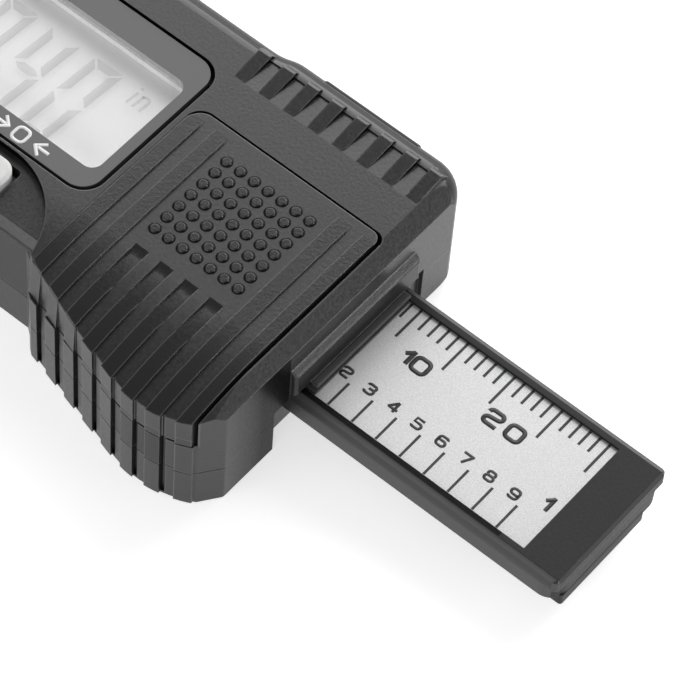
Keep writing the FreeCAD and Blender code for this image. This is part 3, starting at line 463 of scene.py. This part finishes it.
def hollowTilt(face, point):
    # The far ends of the ribs look up, and the hollows that the short ribs start in are one smooth dip
    if face.center.y / mm > scoop["ribEnd"] and min(face.normal.y, face.normal.z) > scoop["endFacing"]:
        return (0, 0, 1)
    if not inHollow(face):
        return None
    first, middle, last = scoop["tilts"]
    outer, tilt = (scoop["start"], first) if point.y > scoop["deep"] else (scoop["end"], last)
    share = (point.y - scoop["deep"]) / (outer - scoop["deep"])
    tilt = math.radians(middle + (tilt - middle) * share)
    return (0, -math.sin(tilt), math.cos(tilt))


rulerTop = boxOf("ruler_frame")[1].z
rulerEdge = {"sliver": 1.0,  # faces of a smaller area, in square mm, keep their shading
             "slope": 0.5, "top": (0, -0.66, 0.75), "topDepth": 0.1, "shoulder": (0, -0.76, 0.65),
             "upright": -0.9, "wall": (0, -0.84, 0.54), "wallDepth": 0.3}


def shoulderTilt(face, point):
    # The near edge of the ruler is one soft shoulder
    look = rulerEdge
    if face.center.y / mm > -rulerWearAndShade["side"] or face.area / mm ** 2 < look["sliver"]:
        return None
    depth = rulerTop - point.z
    if face.normal.z > look["slope"]:
        return look["top"] if depth < look["topDepth"] else look["shoulder"]
    if face.normal.y < look["upright"] and depth < look["wallDepth"]:
        return look["wall"]
    return None


browEdge = {"from": 24.05, "facing": Vector((0.67, 0, 0.74)).normalized(), "match": 0.999,
            "tilt": (0.71, 0, 0.7)}
nearEdge = {"to": 5.0, "side": -9.0, "facing": (-0.3, 0.4), "tilt": (0, -0.74, 0.67)}


def shellTilt(face, point):
    # The upper edge of the lip over the mouth is rounder, and the near bevel by the buttons leans outwards
    x, y = face.center.x / mm, face.center.y / mm
    if x > browEdge["from"] and face.normal.dot(browEdge["facing"]) > browEdge["match"]:
        return browEdge["tilt"]
    leansOut = face.normal.y < nearEdge["facing"][0] and face.normal.z > nearEdge["facing"][1]
    if x < nearEdge["to"] and y < nearEdge["side"] and leansOut:
        return nearEdge["tilt"]
    return None


blackAbs = sparkErodedPlastic("black ABS, spark eroded", shellAbs)
coverAbs = sparkErodedPlastic("black ABS cover, spark eroded", housingAbs)
engraveDots(coverAbs)
topShell = sparkErodedPlastic("black ABS top shell, spark eroded", shellAbs)
tintIndexStrip(topShell)
shadeMouth(topShell)
shadeMouth(blackAbs)
shadeWalls(topShell)
sliderAbs = sparkErodedPlastic("black ABS ruler, fine eroded", rulerAbs)
wearRuler(sliderAbs)
dress(["upper_housing"], topShell)
dress(["lower_housing"], blackAbs)
dress(["battery_cover"], coverAbs)
nodes["battery_cover"].data.materials.append(sparkErodedPlastic("black ABS, polished", polishedTool))
for coverFace in nodes["battery_cover"].data.polygons:
    if inHollow(coverFace):
        coverFace.material_index = 1
shadeCorners("battery_cover", hollowTilt)
shadeCorners("ruler_frame", shoulderTilt)
shadeCorners("upper_housing", shellTilt)
dress(["measuring_foot"], sparkErodedPlastic("black ABS foot", footAbs))
dress(["ruler_frame", "ruler_back"], sliderAbs)
dress(["data_port_cover"], sparkErodedPlastic("black elastomer", portRubber))
dress(["display_bezel"], printedBezel())
dress(["display_frame"], smoothPlastic("white ABS display frame", ("#e4e4e4", "#ebebeb"), 0.5))
dress(["unit_button", "power_button", "zero_button"],
      smoothPlastic("light grey ABS", ("#cfcfce", "#d8d8d7"), 0.38))
dress(["scale_label"], silverFilm())
dress(["lcd_panel"], displayReflector())
dress(["display_lens"], clearPane())
dress(["probe_pin"], metal("ground stainless steel", ("#9d9d9c", "#b5b5b4"), 0.28, (4.0, 0.4, 0.4)))
dress(["probe_cross_pin", "housing_screws", "board_screws"],
      metal("zinc plated steel", ("#8f9091", "#a9aaab"), 0.34))
dress(["battery_cell"], metal("nickel plated cell can", ("#a5a5a4", "#bcbcbb"), 0.24))
dress(["battery_contact_positive", "battery_contact_negative"],
      metal("nickel plated spring strip", ("#a9a49a", "#bdb8ae"), 0.26))
dress(["guide_spring"], metal("phosphor bronze", ("#8a5f3c", "#a5754c"), 0.3))
dress(["data_port_contacts"], metal("gold plated copper", ("#b8923e", "#cba652"), 0.3))
dress(["circuit_board"], bandedFinish("green solder mask", solderMask))
dress(["sensor_grid_strip"], smoothPlastic("glass fibre laminate", ("#3c4a34", "#48573f"), 0.5, 0.05))
dress(["zebra_connectors"], bandedFinish("layered silicone rubber", zebraRubber))
dress(["driver_chip"], smoothPlastic("black potting resin", ("#161616", "#1f1f1f"), 0.3, 0.3))
dress(["key_switches"], smoothPlastic("black switch nylon", ("#26262a", "#303034"), 0.45, 0.1))
print("finishes done")


def fillTree(name, inputs):
    tree = bpy.data.node_groups.new(name, "GeometryNodeTree")
    tree.interface.new_socket("Geometry", in_out="INPUT", socket_type="NodeSocketGeometry")
    for label, kind in inputs.items():
        tree.interface.new_socket(label, in_out="INPUT", socket_type="NodeSocket" + kind)
    tree.interface.new_socket("Geometry", in_out="OUTPUT", socket_type="NodeSocketGeometry")
    return tree, addNode(tree, "NodeGroupInput").outputs, addNode(tree, "NodeGroupOutput")


def grow(name, data, tree, values, material):
    # runs a tree on an object and keeps the plain mesh that comes out
    source = addObject(name + "Source", data)
    modifier = source.modifiers.new("grow", "NODES")
    modifier.node_group = tree
    ids = {s.name: s.identifier for s in tree.interface.items_tree if s.in_out == "INPUT"}
    for label, value in dict(values, Material=material).items():
        modifier[ids[label]] = value
    bpy.context.view_layer.update()
    shown = source.evaluated_get(bpy.context.evaluated_depsgraph_get())
    mesh = bpy.data.meshes.new_from_object(shown)
    mesh.materials.clear()
    mesh.materials.append(material)
    mesh.polygons.foreach_set("material_index", [0] * len(mesh.polygons))
    bpy.data.objects.remove(source)
    return addObject(name, mesh)


def tickTree():
    # a row of printed lines along X, hanging towards -Y from the start point, every few of them longer
    tree, given, result = fillTree("tick row", {"Count": "Int", "Pitch": "Float", "Start": "Vector",
                                   "Width": "Float", "Short": "Float", "Long": "Float", "Long Every": "Int",
                                   "Thickness": "Float", "Material": "Material"})
    step = addNode(tree, "ShaderNodeCombineXYZ", {"X": given["Pitch"]})
    row = addNode(tree, "GeometryNodeMeshLine", {"Count": given["Count"], "Start Location": given["Start"],
                  "Offset": step})
    index = addNode(tree, "GeometryNodeInputIndex")
    rest = addNode(tree, "ShaderNodeMath", {0: index, 1: given["Long Every"]}, operation="MODULO")
    isLong = addNode(tree, "ShaderNodeMath", {0: rest, 1: 0.5}, operation="LESS_THAN")
    length = addNode(tree, "ShaderNodeMix", {0: isLong, "A": given["Short"], "B": given["Long"]},
                     data_type="FLOAT")
    size = addNode(tree, "ShaderNodeCombineXYZ", {"X": given["Width"], "Y": length, "Z": given["Thickness"]})
    block = addNode(tree, "GeometryNodeMeshCube", {"Size": (1, 1, 1)})
    hung = addNode(tree, "GeometryNodeTransform", {"Geometry": block, "Translation": (0, -0.5, 0)})
    marks = addNode(tree, "GeometryNodeInstanceOnPoints", {"Points": row, "Instance": hung, "Scale": size})
    solid = addNode(tree, "GeometryNodeRealizeInstances", {"Geometry": marks})
    inked = addNode(tree, "GeometryNodeSetMaterial", {"Geometry": solid, "Material": given["Material"]})
    feed(result, {"Geometry": inked})
    return tree


def strokeTree():
    # turns the centre lines of printed characters into flat strokes with rounded turns
    tree, given, result = fillTree("printed strokes", {"Stroke": "Float", "Turn": "Float",
                                   "Thickness": "Float", "Material": "Material"})
    softness = addNode(tree, "GeometryNodeInputRadius")
    turn = addNode(tree, "ShaderNodeMath", {0: softness, 1: given["Turn"]}, operation="MULTIPLY")
    rounded = addNode(tree, "GeometryNodeFilletCurve", {"Curve": given["Geometry"], "Radius": turn,
                      "Count": 5, "Limit Radius": True}, mode="POLY")
    even = addNode(tree, "GeometryNodeSetCurveRadius", {"Curve": rounded, "Radius": 1.0})
    level = addNode(tree, "GeometryNodeSetCurveNormal", {"Curve": even}, mode="Z_UP")
    section = addNode(tree, "GeometryNodeCurvePrimitiveQuadrilateral", {"Width": given["Stroke"],
                      "Height": given["Thickness"]}, mode="RECTANGLE")
    swept = addNode(tree, "GeometryNodeCurveToMesh", {"Curve": level, "Profile Curve": section,
                    "Fill Caps": True})
    inked = addNode(tree, "GeometryNodeSetMaterial", {"Geometry": swept, "Material": given["Material"]})
    feed(result, {"Geometry": inked})
    return tree


ticks = tickTree()
strokes = strokeTree()

# Characters as centre lines on a square from 0 to 1. A third value of 0 keeps a corner sharp,
# and a stroke that ends with "loop" is closed.
glyphs = {
    "0": [[(0, 0), (1, 0), (1, 1), (0, 1), "loop"]],
    "1": [[(1, 1.1, 0), (1, 0, 0)], [(0.1, 0.62, 0), (1.1, 1.02, 0)]],
    "2": [[(0, 0.76), (0, 1), (1, 1), (1, 0.56), (0, 0.44), (0, 0), (1, 0)]],
    "3": [[(0, 0.8), (0, 1), (1, 1), (1, 0.53), (0.3, 0.53)],
          [(0.9, 0.53), (1, 0.5), (1, 0), (0, 0), (0, 0.2)]],
    "4": [[(1.1, 0.27, 0), (-0.05, 0.27, 0)], [(-0.05, 0.2, 0), (0.74, 1.1, 0)],
          [(0.74, 1.1, 0), (0.74, -0.08, 0)]],
    "5": [[(0.95, 1), (0.04, 1, 0), (0.04, 0.58, 0), (1, 0.58), (1, 0), (0, 0), (0, 0.16)]],
    "6": [[(0.96, 0.82), (0.96, 1), (0, 1), (0, 0), (1, 0), (1, 0.57), (0, 0.57)]],
    "7": [[(-0.1, 1, 0), (1.12, 1, 0)], [(1.06, 1.06, 0), (0.36, -0.08, 0)]],
    "8": [[(0.07, 0.53), (0.07, 1), (0.93, 1), (0.93, 0.53), "loop"],
          [(0, 0), (0, 0.53), (1, 0.53), (1, 0), "loop"]],
    "9": [[(0.04, 0.18), (0.04, 0), (1, 0), (1, 1), (0, 1), (0, 0.43), (1, 0.43)]],
    "i": [[(0.5, 0, 0), (0.5, 0.7, 0)], [(0.5, 0.87, 0), (0.5, 1, 0)]],
    "n": [[(0, 0, 0), (0, 0.7, 0)], [(0, 0.6), (0, 0.7), (0.8, 0.7), (0.8, 0)]],
    "right": [[(0, 0.5, 0), (0.98, 0.5, 0)], [(0.45, 1, 0), (1.06, 0.45, 0)],
              [(0.45, 0, 0), (1.06, 0.55, 0)]],
    "left": [[(1, 0.5, 0), (0.02, 0.5, 0)], [(0.55, 1, 0), (-0.06, 0.45, 0)],
             [(0.55, 0, 0), (-0.06, 0.55, 0)]],
}
strokeStep = 0.002  # crossing strokes lie this far apart, so that no two faces coincide


def printCharacters(name, characters, look, origin, material):
    # a character is its key, its left edge and its width, and slant leans it over
    curve = bpy.data.curves.new(name, "CURVE")
    curve.dimensions = "3D"
    for key, left, width in characters:
        for lift, stroke in enumerate(glyphs[key]):
            closed = stroke[-1] == "loop"
            points = stroke[:-1] if closed else stroke
            spline = curve.splines.new("POLY")
            spline.points.add(len(points) - 1)
            for point, target in zip(points, spline.points):
                up = point[1] * look["height"]
                across = left + point[0] * width + up * look.get("slant", 0.0)
                target.co = (*((origin + Vector((across, look["base"] + up, strokeStep * lift))) * mm), 1)
                target.radius = point[2] if len(point) > 2 else 1.0
            spline.use_cyclic_u = closed
    return grow(name, curve, strokes, {"Stroke": look["stroke"] * mm, "Turn": look["turn"] * mm,
                "Thickness": look["ink"] * mm}, material)


def joinPieces(name, pieces, body):
    # one plain mesh out of several, in place
    merged = bmesh.new()
    for piece in pieces:
        merged.from_mesh(piece.data)
    mesh = bpy.data.meshes.new(name)
    merged.to_mesh(mesh)
    merged.free()
    for slot in pieces[0].data.materials:
        mesh.materials.append(slot)
    for piece in pieces:
        bpy.data.objects.remove(piece)
    made = addObject(name, mesh)
    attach(made, body)


scalePrint = {
    "zero": 25.88,  # from the label's end back to the scale's zero
    "ink": 0.012,  # thickness that stands on the film
    "topMargin": 0.02, "inchTop": 2.9, "inchShift": 0.04,  # where the two rows of ticks hang from
    "millimetres": {"Count": 26, "Pitch": 1.0, "Width": 0.25, "Short": 1.73, "Long": 3.48, "Long Every": 5},
    "tenths": {"Count": 10, "Pitch": 2.54, "Width": 0.24, "Short": 2.74, "Long": 2.74, "Long Every": 1},
    "big": {"width": 1.42, "height": 1.42, "stroke": 0.42, "base": 7.46, "back": 0.62, "turn": 0.426},
    "small": {"width": 0.83, "height": 0.93, "stroke": 0.26, "base": 3.16, "back": 0.4, "turn": 0.279},
    "one": {"width": 0.62, "height": 1.42, "stroke": 0.37, "base": 3.97, "back": 1.12, "turn": 0.426},
    "tens": {10: (1.15, 0.7), 20: (2.24, 1.42)},  # how far before the nought its digit is, and how wide
    "narrow": 0.5,  # width of the small 1 against the other small digits
}


def scaleMarks():
    look = scalePrint
    low, high = boxOf("scale_label")
    zero = high.x - look["zero"]
    level = high.z + look["ink"] / 2
    ink = printInk("black screen ink", ("#1e1e1e", "#2c2c2c"))
    rows = []
    for key, left, top in (("millimetres", zero, high.y - look["topMargin"]),
                           ("tenths", zero + look["inchShift"], low.y + look["inchTop"])):
        lengths = {name: look[key][name] * mm for name in ("Pitch", "Width", "Short", "Long")}
        lengths["Start"] = [left * mm, top * mm, level * mm]
        lengths["Thickness"] = look["ink"] * mm
        rows.append(grow(key, bpy.data.meshes.new(key), ticks, dict(look[key], **lengths), ink))
    big, small, one = look["big"], look["small"], look["one"]
    groups = {"big": [], "small": [], "one": []}
    for reading, (before, width) in look["tens"].items():
        left = reading - big["back"] - big["stroke"] / 2 - big["width"]
        groups["big"] += [("0", left, big["width"]), (str(reading)[0], left - before, width)]
    pitch = look["tenths"]["Pitch"]
    for digit in range(1, 10):
        width = small["width"] * (look["narrow"] if digit == 1 else 1.0)
        groups["small"].append((str(digit), digit * pitch - small["back"] - width, width))
    groups["one"].append(("1", 10 * pitch - one["back"], one["width"]))
    for key, characters in groups.items():
        rows.append(printCharacters(key, characters, dict(look[key], ink=look["ink"]),
                                    Vector((zero, low.y, level)), ink))
    joinPieces("scale_print", rows, "ruler")


indexFilm = {"low": (72.4, -6.12, 1.42), "high": (73.7, 6.07, 1.62), "floor": 4.55,
             "colours": ("#3a3a3a", "#4c4c4c"), "shine": 0.15}


def indexEdge():
    # the dark film under the brow whose edge the scale is read against
    look = indexFilm
    origin = Vector((-halfLength, 0, boxOf("lower_housing")[0].z + look["floor"]))
    low = (origin + Vector(look["low"])) * mm
    high = (origin + Vector(look["high"])) * mm
    built = bmesh.new()
    bmesh.ops.create_cube(built, size=1.0)
    bmesh.ops.scale(built, vec=high - low, verts=built.verts[:])
    bmesh.ops.translate(built, vec=(low + high) / 2, verts=built.verts[:])
    mesh = bpy.data.meshes.new("index_film")
    built.to_mesh(mesh)
    built.free()
    film = smoothPlastic("smoked polycarbonate film", look["colours"], 0.5, 0.02)
    feed(film.node_tree.nodes["Principled BSDF"], {"Specular IOR Level": look["shine"]})
    mesh.materials.append(film)
    made = addObject("index_film", mesh)
    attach(made, "housing")


bezelMark = {"right": 44.4, "width": 1.5, "height": 1.45, "stroke": 0.3, "gap": 0.75, "ink": 0.012,
             "base": 0.3, "turn": 0.45, "narrow": 0.85}  # width of the 0 against an arrow


def zeroMark():
    # the usual sign for setting to nought: an arrow on each side of a 0
    look = bezelMark
    low, high = boxOf("display_bezel")
    left = look["right"] - look["width"]
    characters = []
    for key in ("left", "0", "right"):
        characters.append((key, left, look["width"] * (look["narrow"] if key == "0" else 1.0)))
        left -= look["width"] + look["gap"]
    origin = Vector((displayZero, low.y, high.z + look["ink"] / 2))
    mark = printCharacters("zero_mark", characters, look, origin,
                           printInk("white screen ink", ("#d9d9d9", "#e7e7e7")))
    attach(mark, "housing")


scaleMarks()
indexEdge()
zeroMark()
print("printed marks done")


def darkCrystal():
    # Switched liquid crystal: a grey veil that lets most light through and throws a faint soft shadow
    return newMaterial("darkened liquid crystal", {"Base Color": "#1a1a1a", "Roughness": 0.5,
                       "Alpha": 0.085})[0]


digits = {
    "right": 42.98, "top": 4.82, "pitch": 4.83, "width": 3.2, "height": 9.8, "bar": 0.85, "gap": 0.15,
    "slant": math.tan(math.radians(3.2)), "thickness": 0.02,
    "waist": 0.85, "tip": 0.25,  # of an upright's inner corner and the middle bar's end, in widths of a bar
    "clear": 0.35,  # the crystal lies this far in front of the reflector
    "point": ((-1.9, 0), (-1.1, 0), (-1.1, 0.8), (-1.9, 0.8)),  # from the foot of the third digit's left edge
    "lit": {"0": "abcdef", "4": "bcfg"}, "shown": "0040",  # the point comes after the first 0
}
unitSign = {"i": 44.4, "n": 45.55, "base": 2.9, "width": 0.95, "height": 2.1, "slant": 0.08,
            "stroke": 0.28, "turn": 0.3, "ink": digits["thickness"]}


def segmentOutline(key, look):
    # corners of one bar on a digit of the full width and height, from its lower left corner
    wide, high, bar, gap = look["width"], look["height"], look["bar"], look["gap"]
    half = high / 2
    if key == "g":
        tip, end = look["tip"] * bar + gap, bar + gap
        return [(tip, half), (end, half + bar / 2), (wide - end, half + bar / 2), (wide - tip, half),
                (wide - end, half - bar / 2), (end, half - bar / 2)]
    if key in "ad":
        outline = [(gap, 0), (wide - gap, 0), (wide - bar - gap, bar), (bar + gap, bar)]
        return [(x, high - y) for x, y in outline] if key == "a" else outline[::-1]
    waist = half + look["waist"] * bar
    outline = [(0, half + gap), (0, high - gap), (bar, high - bar - gap), (bar, waist + gap)]
    if key in "bc":
        outline = [(wide - x, y) for x, y in reversed(outline)]
    if key in "ec":
        outline = [(x, high - y) for x, y in reversed(outline)]
    return outline


def displayDigits():
    look = digits
    level = boxOf("lcd_panel")[1].z + look["clear"]
    base = look["top"] - look["height"]
    built = bmesh.new()
    for place, digit in enumerate(reversed(look["shown"])):
        left = look["right"] - look["width"] - place * look["pitch"] + displayZero
        for key in look["lit"][digit]:
            built.faces.new([built.verts.new(((left + x + (y - look["height"]) * look["slant"]) * mm,
                                              (base + y) * mm, level * mm))
                             for x, y in segmentOutline(key, look)])
    point = look["right"] - look["width"] - 2 * look["pitch"] + displayZero
    built.faces.new([built.verts.new(((point + x) * mm, (base + y) * mm, level * mm))
                     for x, y in look["point"]])
    grown = bmesh.ops.extrude_face_region(built, geom=built.faces[:])
    lifted = [v for v in grown["geom"] if isinstance(v, bmesh.types.BMVert)]
    bmesh.ops.translate(built, verts=lifted, vec=(0, 0, look["thickness"] * mm))
    bmesh.ops.recalc_face_normals(built, faces=built.faces[:])
    mesh = bpy.data.meshes.new("display_digits")
    built.to_mesh(mesh)
    built.free()
    crystal = darkCrystal()
    mesh.materials.append(crystal)
    made = addObject("display_digits", mesh)
    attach(made, "housing")

    characters = [(key, unitSign[key], unitSign["width"]) for key in "in"]
    letters = printCharacters("unit_sign", characters, unitSign,
                              Vector((displayZero, 0, level + look["thickness"] / 2)), crystal)
    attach(letters, "housing")


displayDigits()
print("display done")


view = {"place": (0.13693, -0.157423, 0.294374), "aim": (0.027108, -0.004098, 0.012),  # metres
        "nearest": 0.01, "farthest": 10, "roll": 5.098, "lens": 215.079, "sensor": 36}


def makeCamera():
    data = bpy.data.cameras.new("camera")
    data.lens = view["lens"]
    data.sensor_width = view["sensor"]
    data.clip_start = view["nearest"]
    data.clip_end = view["farthest"]
    camera = addObject("camera", data)
    place, aim = Vector(view["place"]), Vector(view["aim"])
    turn = (aim - place).to_track_quat("-Z", "Y").to_matrix()
    turn = turn @ Matrix.Rotation(math.radians(view["roll"]), 3, "Z")
    camera.matrix_world = Matrix.Translation(place) @ turn.to_4x4()
    bpy.context.scene.camera = camera


studio = {
    "room": 0.3, "roomColour": "#f4f4f4",  # light from the ceiling and walls
    "horizon": 0.28,  # the backdrop reaches this high, as the height of a ray of length 1
    "floor": "#e6e6e6", "floorRoughness": 0.9, "glow": 0.6, "reach": 1.5,  # half its side, in metres
    "below": 0.02,  # gap under the object, so that no two faces coincide
    "lamps": {  # direction, distance and size in metres, and radiance of each softbox
        "far": ((-0.3, 0.8, 0.52), 1.0, (1.4, 0.8), 4.05),
        "right": ((0.85, 0.45, 0.13), 0.8, (0.35, 0.22), 10.0),
        "front": ((0.0, -0.9, 0.36), 0.9, (1.6, 0.35), 3.0),
    },
}


def softbox(name, direction, distance, size, radiance):
    data = bpy.data.lights.new(name, "AREA")
    data.shape = "RECTANGLE"
    data.size, data.size_y = size
    data.energy = radiance * math.pi * size[0] * size[1]
    lamp = addObject(name, data)
    lamp.location = Vector(direction).normalized() * distance
    lamp.rotation_mode = "QUATERNION"
    lamp.rotation_quaternion = (-Vector(direction)).to_track_quat("-Z", "Y")


def makeRoom():
    # seen directly, the room is white, and shiny faces mirror its white up to the horizon
    world = bpy.data.worlds.new("studio")
    bpy.context.scene.world = world
    world.use_nodes = True
    tree = world.node_tree
    room = tree.nodes["Background"]
    feed(room, {"Color": studio["roomColour"], "Strength": studio["room"]})
    path = addNode(tree, "ShaderNodeLightPath").outputs
    around = addNode(tree, "ShaderNodeTexCoord").outputs["Generated"]
    height = addNode(tree, "ShaderNodeSeparateXYZ", {"Vector": around}).outputs["Z"]
    low = maskWhere(tree, (height, None, studio["horizon"]))
    mirrored = addNode(tree, "ShaderNodeMath", {0: path["Is Glossy Ray"], 1: path["Is Transmission Ray"]},
                       operation="MAXIMUM")
    mirrored = addNode(tree, "ShaderNodeMath", {0: mirrored, 1: low}, operation="MULTIPLY")
    seen = addNode(tree, "ShaderNodeMath", {0: path["Is Camera Ray"], 1: mirrored}, operation="MAXIMUM")
    white = addNode(tree, "ShaderNodeBackground", {"Color": "#ffffff", "Strength": 1.0})
    mixed = addNode(tree, "ShaderNodeMixShader", {"Fac": seen, 1: room, 2: white})
    feed(tree.nodes["World Output"], {"Surface": mixed})


def makeTable():
    # seen directly or mirrored, the table glows into the backdrop, and its underside is left out
    reach = studio["reach"]
    mesh = bpy.data.meshes.new("floor")
    mesh.from_pydata([(-reach, -reach, 0), (reach, -reach, 0), (reach, reach, 0), (-reach, reach, 0)], [],
                     [(0, 1, 2, 3)])
    floor = addObject("floor", mesh)
    floor.location.z = -studio["below"] * mm
    material, tree, shader, _ = newMaterial("white table", {"Base Color": studio["floor"],
                                                            "Roughness": studio["floorRoughness"]})
    path = addNode(tree, "ShaderNodeLightPath").outputs
    seen = path["Is Camera Ray"]
    for ray in ("Is Glossy Ray", "Is Transmission Ray"):
        seen = addNode(tree, "ShaderNodeMath", {0: seen, 1: path[ray]}, operation="MAXIMUM")
    glow = addNode(tree, "ShaderNodeEmission", {"Color": "#ffffff", "Strength": studio["glow"]})
    lit = addNode(tree, "ShaderNodeAddShader", {0: shader, 1: glow})
    mixed = addNode(tree, "ShaderNodeMixShader", {"Fac": seen, 1: shader, 2: lit})
    under = addNode(tree, "ShaderNodeNewGeometry").outputs["Backfacing"]
    whole = addNode(tree, "ShaderNodeMixShader", {"Fac": under, 1: mixed,
                    2: addNode(tree, "ShaderNodeBsdfTransparent")})
    feed(tree.nodes["Material Output"], {"Surface": whole})
    mesh.materials.append(material)


makeCamera()
bpy.context.scene.view_settings.view_transform = "Standard"
makeRoom()
for lampName, lamp in studio["lamps"].items():
    softbox(lampName, *lamp)
makeTable()
print("studio done")
